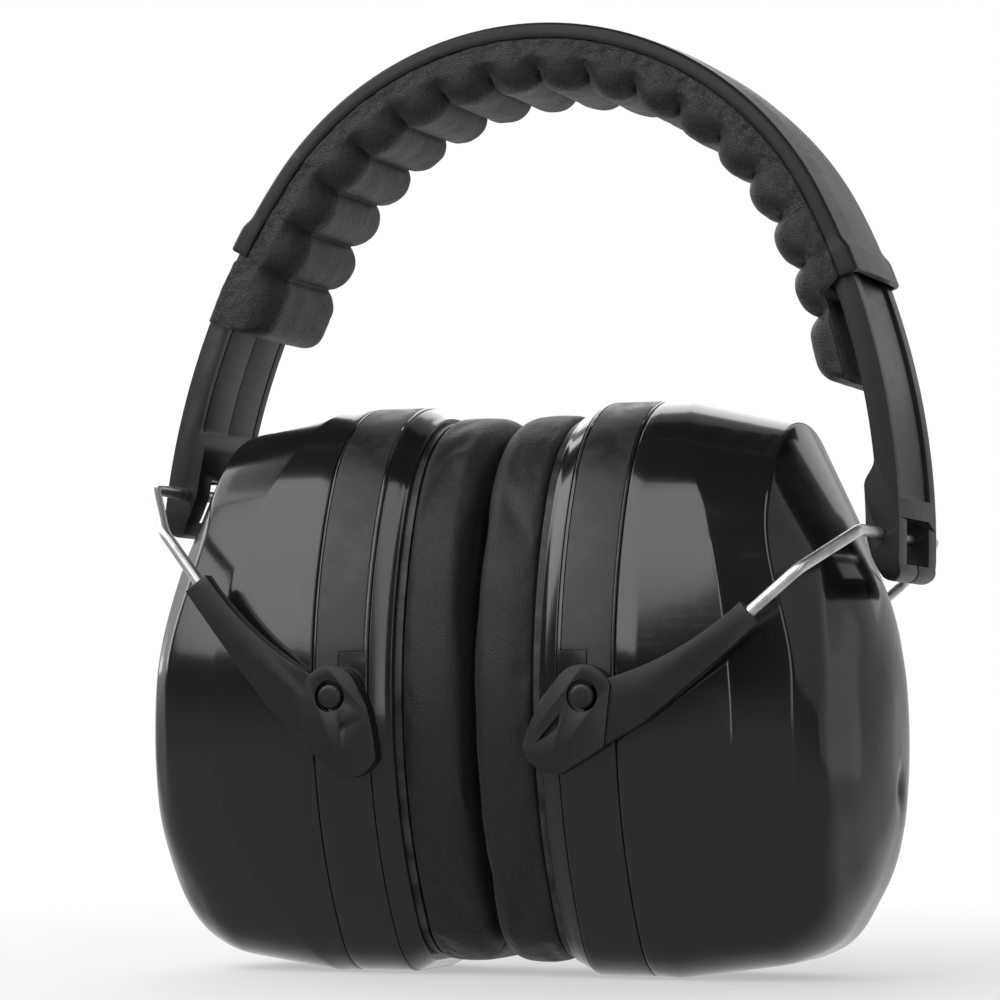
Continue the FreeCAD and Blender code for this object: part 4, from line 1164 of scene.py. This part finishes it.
def arm(side):
    """Curved blade with raised rims, inner grooves, and a windowed foot round the wire."""
    mouth = 90 - math.degrees(MOUTH)
    face = SIDE_RADIUS - ARM_DEPTH
    centre = side_polar((SIDE_X, SIDE_Z), face - ARM_RADIUS, mouth)
    slide = side_polar((SIDE_X, SIDE_Z), face - SLIDE_RADIUS, mouth)
    per_mm = math.degrees(1 / ARM_RADIUS)
    bar = math.degrees(math.asin((-CROSSBAR_DROP - centre[1]) / ARM_RADIUS))
    low = bar - FOOT_BELOW * per_mm
    foot_top = bar + FOOT_ABOVE * per_mm
    blend = foot_top + 5.0 * per_mm
    tip = mouth + 14.8
    shoulder = mouth + 1.0

    def at(radius, degrees):
        return side_polar(centre, radius, degrees)

    outline = arc(slide, SLIDE_RADIUS, mouth, tip, 1.0)
    outline += arc(slide, SLIDE_RADIUS - TONGUE, tip, shoulder, 1.0)
    outline += [side_polar(slide, SLIDE_RADIUS - BLADE, shoulder)]
    outline += arc(centre, ARM_RADIUS - BLADE, mouth, blend, 0.7)
    for t in np.linspace(0, 1, 7)[1:]:
        thick = BLADE + (FOOT - BLADE) * float(smooth_step(0, 1, t))
        outline.append(at(ARM_RADIUS - thick, blend + (foot_top - blend) * t))
    outline += arc(centre, ARM_RADIUS - FOOT, foot_top, bar, 0.7)[1:]
    outline += [at(ARM_RADIUS - 5.4, bar - 4.5 * per_mm)]
    toe = [at(ARM_RADIUS - 3.6, low + 1.0 * per_mm), at(ARM_RADIUS - 1.7, low + 0.4 * per_mm),
           at(ARM_RADIUS, low + 3.5 * per_mm)]
    outline += three_point_arc(*toe, 8)
    outline += arc(centre, ARM_RADIUS, low + 3.5 * per_mm, mouth, 0.7)[1:-1]

    def band_of(outer, inner, start, end):
        return arc(centre, outer, start, end, 0.7) + arc(centre, inner, end, start, 0.7)

    def opening(inward, low_z, high_z, half_y):
        near = CROSSBAR_HALF - inward
        far = CROSSBAR_HALF + 8
        return prism([(near, low_z), (far, low_z), (far, high_z), (near, high_z)], -half_y, half_y)

    level = -CROSSBAR_DROP
    sunk = band_of(ARM_RADIUS + 2, ARM_RADIUS - 0.75, foot_top - 1.0, mouth + 6)
    groove = band_of(ARM_RADIUS - 3.75, ARM_RADIUS - 6, foot_top + 1.5, mouth + 3)
    cutters = [prism(sunk, -10.8, 10.8)]
    for middle, half in ((-12.6, 0.3), (12.6, 0.3), (0.0, 0.16)):
        cutters.append(prism(groove, middle - half, middle + half))
    cutters.append(opening(14, level - 5.6, level + 3.4, 9.0))
    cutters.append(opening(12, level - 13, level - 5.0, 0.55))
    cutters.append(prism(arc((CROSSBAR_HALF, level), WIRE_BORE, 0, 345, 15), -20, 20))
    bottom = level - FOOT_BELOW
    rounded = bottom + FOOT_ROUND
    for sign in (-1, 1):
        edge = [(sign * ARM_HALF, rounded)]
        for t in np.linspace(0, math.pi / 2, 9)[1:]:
            edge.append((sign * (ARM_HALF - FOOT_ROUND * (1 - math.cos(t))),
                         bottom + FOOT_ROUND * (1 - math.sin(t))))
        edge += [(sign * (ARM_HALF - FOOT_ROUND), bottom - 3), (sign * (ARM_HALF + 3), bottom - 3),
                 (sign * (ARM_HALF + 3), rounded)]
        solid, sides = prism(edge, CROSSBAR_HALF - 16, CROSSBAR_HALF + 10)
        cutters.append(([(x, y, z) for y, x, z in solid], sides))
    points, faces = carved([prism(outline, -ARM_HALF, ARM_HALF)], cutters, 0.38, 3, 30)
    name = side + "_arm"
    place(name + "_blade", points, faces, arm_place(side), SATIN, name, [name], sharp=30)


# ---------------------------------------------------------------- build it
headband_cover()
head_pad()
for number, side in enumerate(SIDES):
    outer_shell(side)
    cup_ring(side)
    saddle_strip(side)
    seal_ring(side)
    foam_liner(side)
    cushion(side, 5.0 + 11 * number)
    wire_yoke(side)
    arm(side)
    for end in (FRONT, REAR):
        lever(side, end)
        pivot_pin(side, end)
for kept in ("left_cushion_plate", "right_cushion_plate", "headband_channel"):
    frame["nodes"][kept].data.materials.clear()
    frame["nodes"][kept].data.materials.append(SATIN)


# ---------------------------------------------------------------- studio
WHITE = (1, 1, 1, 1)


def mixed_surface(owner, factor, first, second, output):
    """Shows the first shader, or the second where the factor is 1."""
    mix = node(owner, "ShaderNodeMixShader")
    link(owner, factor, mix.inputs[0])
    link(owner, first.outputs[0], mix.inputs[1])
    link(owner, second.outputs[0], mix.inputs[2])
    link(owner, mix.outputs[0], owner.node_tree.nodes[output].inputs["Surface"])


def floor():
    """Pale ground that brightens to the white of the surroundings away from the object."""
    mat, shader = material("studio_floor", (0.82, 0.82, 0.82), 0.7)
    place_at = node(mat, "ShaderNodeTexCoord")
    away = node(mat, "ShaderNodeVectorMath", operation="LENGTH")
    link(mat, place_at.outputs["Object"], away.inputs[0])
    fade = ranged(mat, away.outputs["Value"], 0.06, 0.30, 0.45, 1.0)
    seen = product(mat, fade, node(mat, "ShaderNodeLightPath").outputs["Is Camera Ray"])
    glow = node(mat, "ShaderNodeEmission", Color=WHITE, Strength=1.0)
    mixed_surface(mat, seen, shader, glow, "Material Output")
    mesh = bpy.data.meshes.new("studio_floor")
    size = 6.0
    corners = [(-size, -size, 0), (size, -size, 0), (size, size, 0), (-size, size, 0)]
    mesh.from_pydata(corners, [], [(0, 1, 2, 3)])
    mesh.materials.append(mat)
    obj = linked("studio_floor", mesh)
    obj.location.z = -0.0002
    obj.visible_glossy = False


def softbox(name, azimuths, elevations, radiance, distance=1.1):
    """Area light aimed at the object between angles; azimuth 0 is the front, positive to the right."""
    centre = Vector((0, 0, 0.09))
    a = math.radians(sum(azimuths) / 2)
    e = math.radians(sum(elevations) / 2)
    away = Vector((math.sin(a) * math.cos(e), -math.cos(a) * math.cos(e), math.sin(e)))
    half_turn, half_rise = (math.radians((high - low) / 2) for low, high in (azimuths, elevations))
    width = 2 * distance * math.tan(half_turn) * math.cos(e)
    height = 2 * distance * math.tan(half_rise)
    lamp = bpy.data.lights.new(name, "AREA")
    lamp.shape = "RECTANGLE"
    lamp.size = width
    lamp.size_y = height
    lamp.energy = radiance * math.pi * width * height
    obj = linked(name, lamp)
    obj.location = centre + away * distance
    obj.rotation_euler = (-away).to_track_quat("-Z", "Y").to_euler()


def surroundings():
    """White to the camera; dim in reflections, a little light below, white behind the object."""
    world = bpy.data.worlds.new("studio")
    bpy.context.scene.world = world
    world.use_nodes = True
    seen = world.node_tree.nodes["Background"]
    seen.inputs["Color"].default_value = WHITE
    seen.inputs["Strength"].default_value = 1.0
    split = node(world, "ShaderNodeSeparateXYZ")
    link(world, node(world, "ShaderNodeTexCoord").outputs["Generated"], split.inputs[0])
    total = node(world, "ShaderNodeMath", operation="ADD")
    link(world, ranged(world, split.outputs["Z"], -0.25, 0.05, 0.36, 0.03), total.inputs[0])
    link(world, ranged(world, split.outputs["Y"], 0.15, 0.7, 0.0, 0.45), total.inputs[1])
    dim = node(world, "ShaderNodeBackground", Color=WHITE)
    link(world, total.outputs[0], dim.inputs["Strength"])
    to_camera = node(world, "ShaderNodeLightPath").outputs["Is Camera Ray"]
    mixed_surface(world, to_camera, dim, seen, "World Output")


def studio():
    surroundings()
    softbox("key", (-62, -3), (8, 56), 2.7)
    softbox("left", (-128, -74), (3, 48), 2.6)
    softbox("crease_line", (1, 5), (-14, 40), 4.0)
    softbox("strip", (30, 45), (-8, 55), 2.2)
    softbox("right", (78, 122), (-8, 40), 0.45)
    softbox("back_left", (-175, -140), (10, 50), 2.0)
    softbox("back_right", (145, 175), (10, 50), 0.45)
    floor()


def camera():
    """Nearly level with the cups, from the front and a little to the right, with a long lens."""
    data = bpy.data.cameras.new("camera")
    data.lens = 137.92
    data.sensor_width = 36
    obj = linked("camera", data)
    obj.location = (0.2594, -0.7347, 0.0508)
    obj.rotation_euler = (math.radians(90 + 3.270), 0, math.radians(19.975))
    bpy.context.scene.camera = obj


studio()
camera()
bpy.context.scene.view_settings.view_transform = "Standard"
